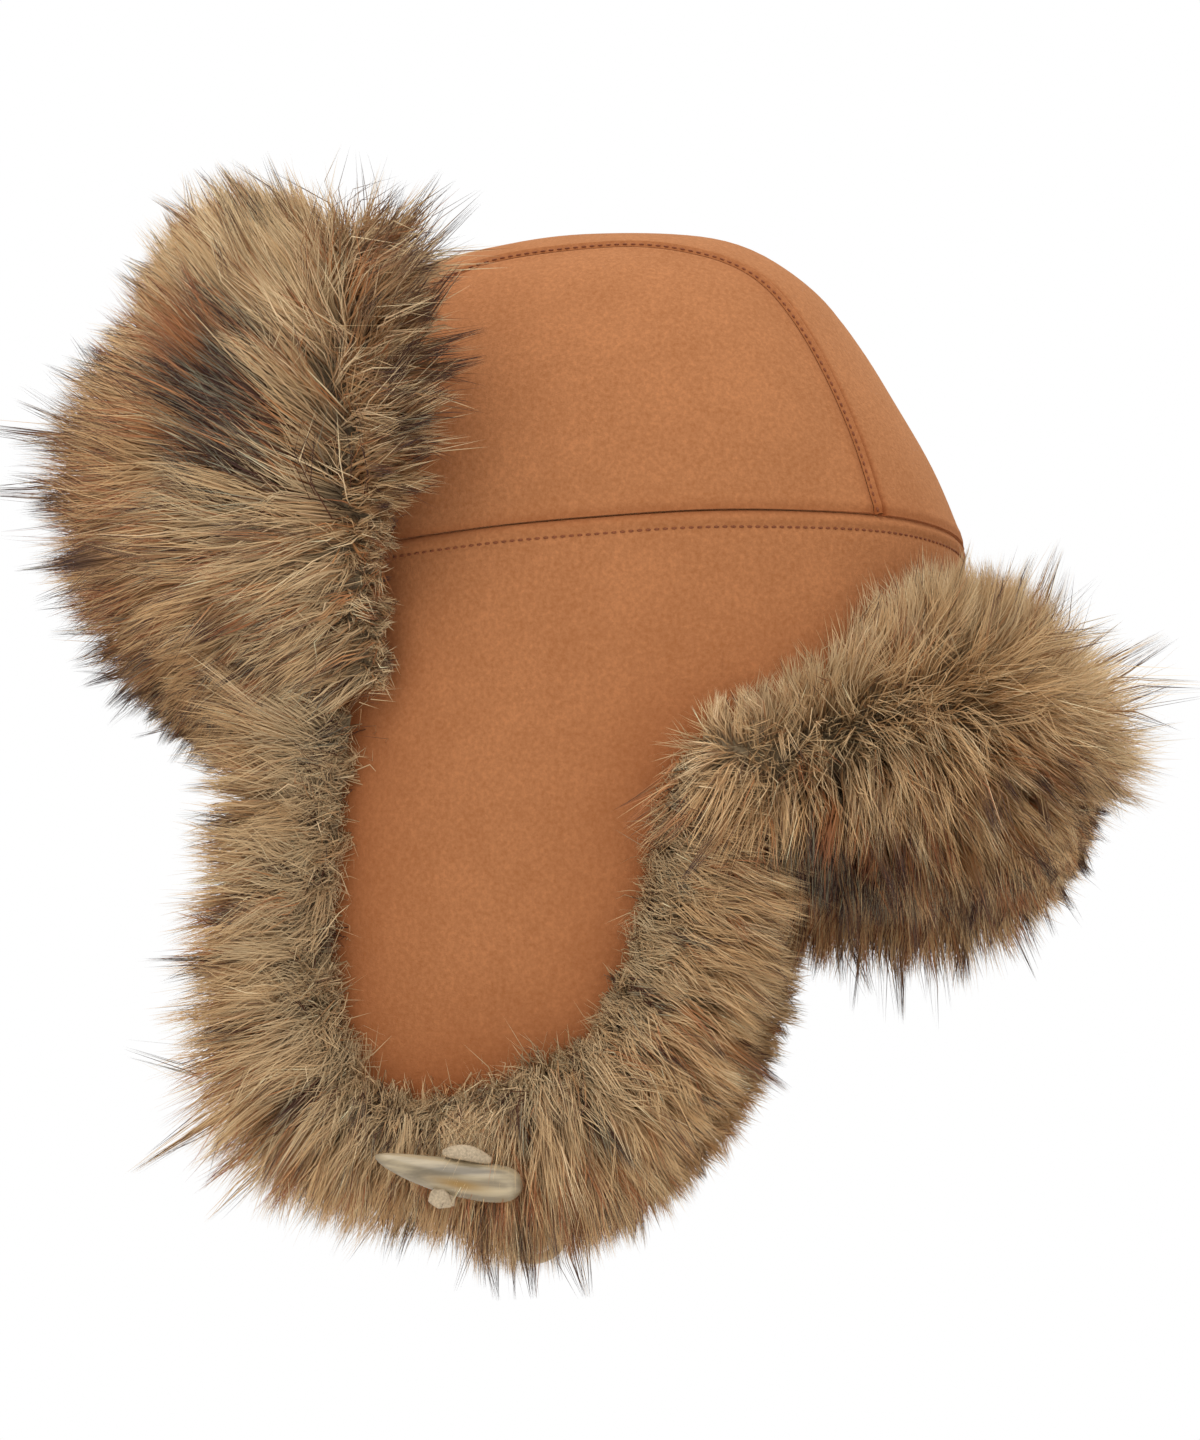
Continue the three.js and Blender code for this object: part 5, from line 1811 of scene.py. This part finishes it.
class HAT_OT_front_flap(bpy.types.Operator):
    """Make the front flap's suede and grow its fur"""

    bl_idname = "hat.front_flap"
    bl_label = "Front flap"

    def execute(self, context):
        make_visor_backing(context.scene.hat_sizes)
        make_visor_fur(context.scene.hat_sizes)
        return {"FINISHED"}


class HAT_OT_ear_fur(bpy.types.Operator):
    """Grow the fur round both ear flaps"""

    bl_idname = "hat.ear_fur"
    bl_label = "Ear flaps' fur"

    def execute(self, context):
        make_ear_fur(context.scene.hat_sizes)
        return {"FINISHED"}


class HAT_OT_neck_fur(bpy.types.Operator):
    """Grow the fur over the neck flap"""

    bl_idname = "hat.neck_fur"
    bl_label = "Neck flap's fur"

    def execute(self, context):
        make_neck_fur(context.scene.hat_sizes)
        return {"FINISHED"}


class HAT_OT_toggle(bpy.types.Operator):
    """Make the toggle, its thong and the loop"""

    bl_idname = "hat.toggle"
    bl_label = "Toggle"

    def execute(self, context):
        make_toggle()
        make_thong()
        return {"FINISHED"}


OPERATORS = (
    HAT_OT_materials,
    HAT_OT_stage,
    HAT_OT_crown,
    HAT_OT_side_panels,
    HAT_OT_stitching,
    HAT_OT_front_flap,
    HAT_OT_ear_fur,
    HAT_OT_neck_fur,
    HAT_OT_toggle,
)


class HAT_PT_panel(bpy.types.Panel):
    """The hat's pieces, in the order in which they are made"""

    bl_label = "Aviator Hat"
    bl_idname = "HAT_PT_panel"
    bl_space_type = "VIEW_3D"
    bl_region_type = "UI"
    bl_category = "Hat"

    def draw(self, context):
        for operator in OPERATORS:
            self.layout.operator(operator.bl_idname)
        for group in (context.scene.hat_sizes, context.scene.hat_colours):
            for name in type(group).__annotations__:
                self.layout.prop(group, name)


def register():
    for kind in (HatSizes, HatColours, *OPERATORS, HAT_PT_panel):
        bpy.utils.register_class(kind)
    bpy.types.Scene.hat_sizes = bpy.props.PointerProperty(type=HatSizes)
    bpy.types.Scene.hat_colours = bpy.props.PointerProperty(type=HatColours)


def unregister():
    del bpy.types.Scene.hat_sizes
    del bpy.types.Scene.hat_colours
    for kind in (HAT_PT_panel, *reversed(OPERATORS), HatColours, HatSizes):
        bpy.utils.unregister_class(kind)


def main():
    register()
    bpy.ops.hat.materials()
    bpy.ops.hat.stage()
    bpy.ops.hat.crown()
    bpy.ops.hat.side_panels()
    bpy.ops.hat.stitching()
    bpy.ops.hat.front_flap()
    bpy.ops.hat.ear_fur()
    bpy.ops.hat.neck_fur()
    bpy.ops.hat.toggle()


if __name__ == "__main__":
    main()
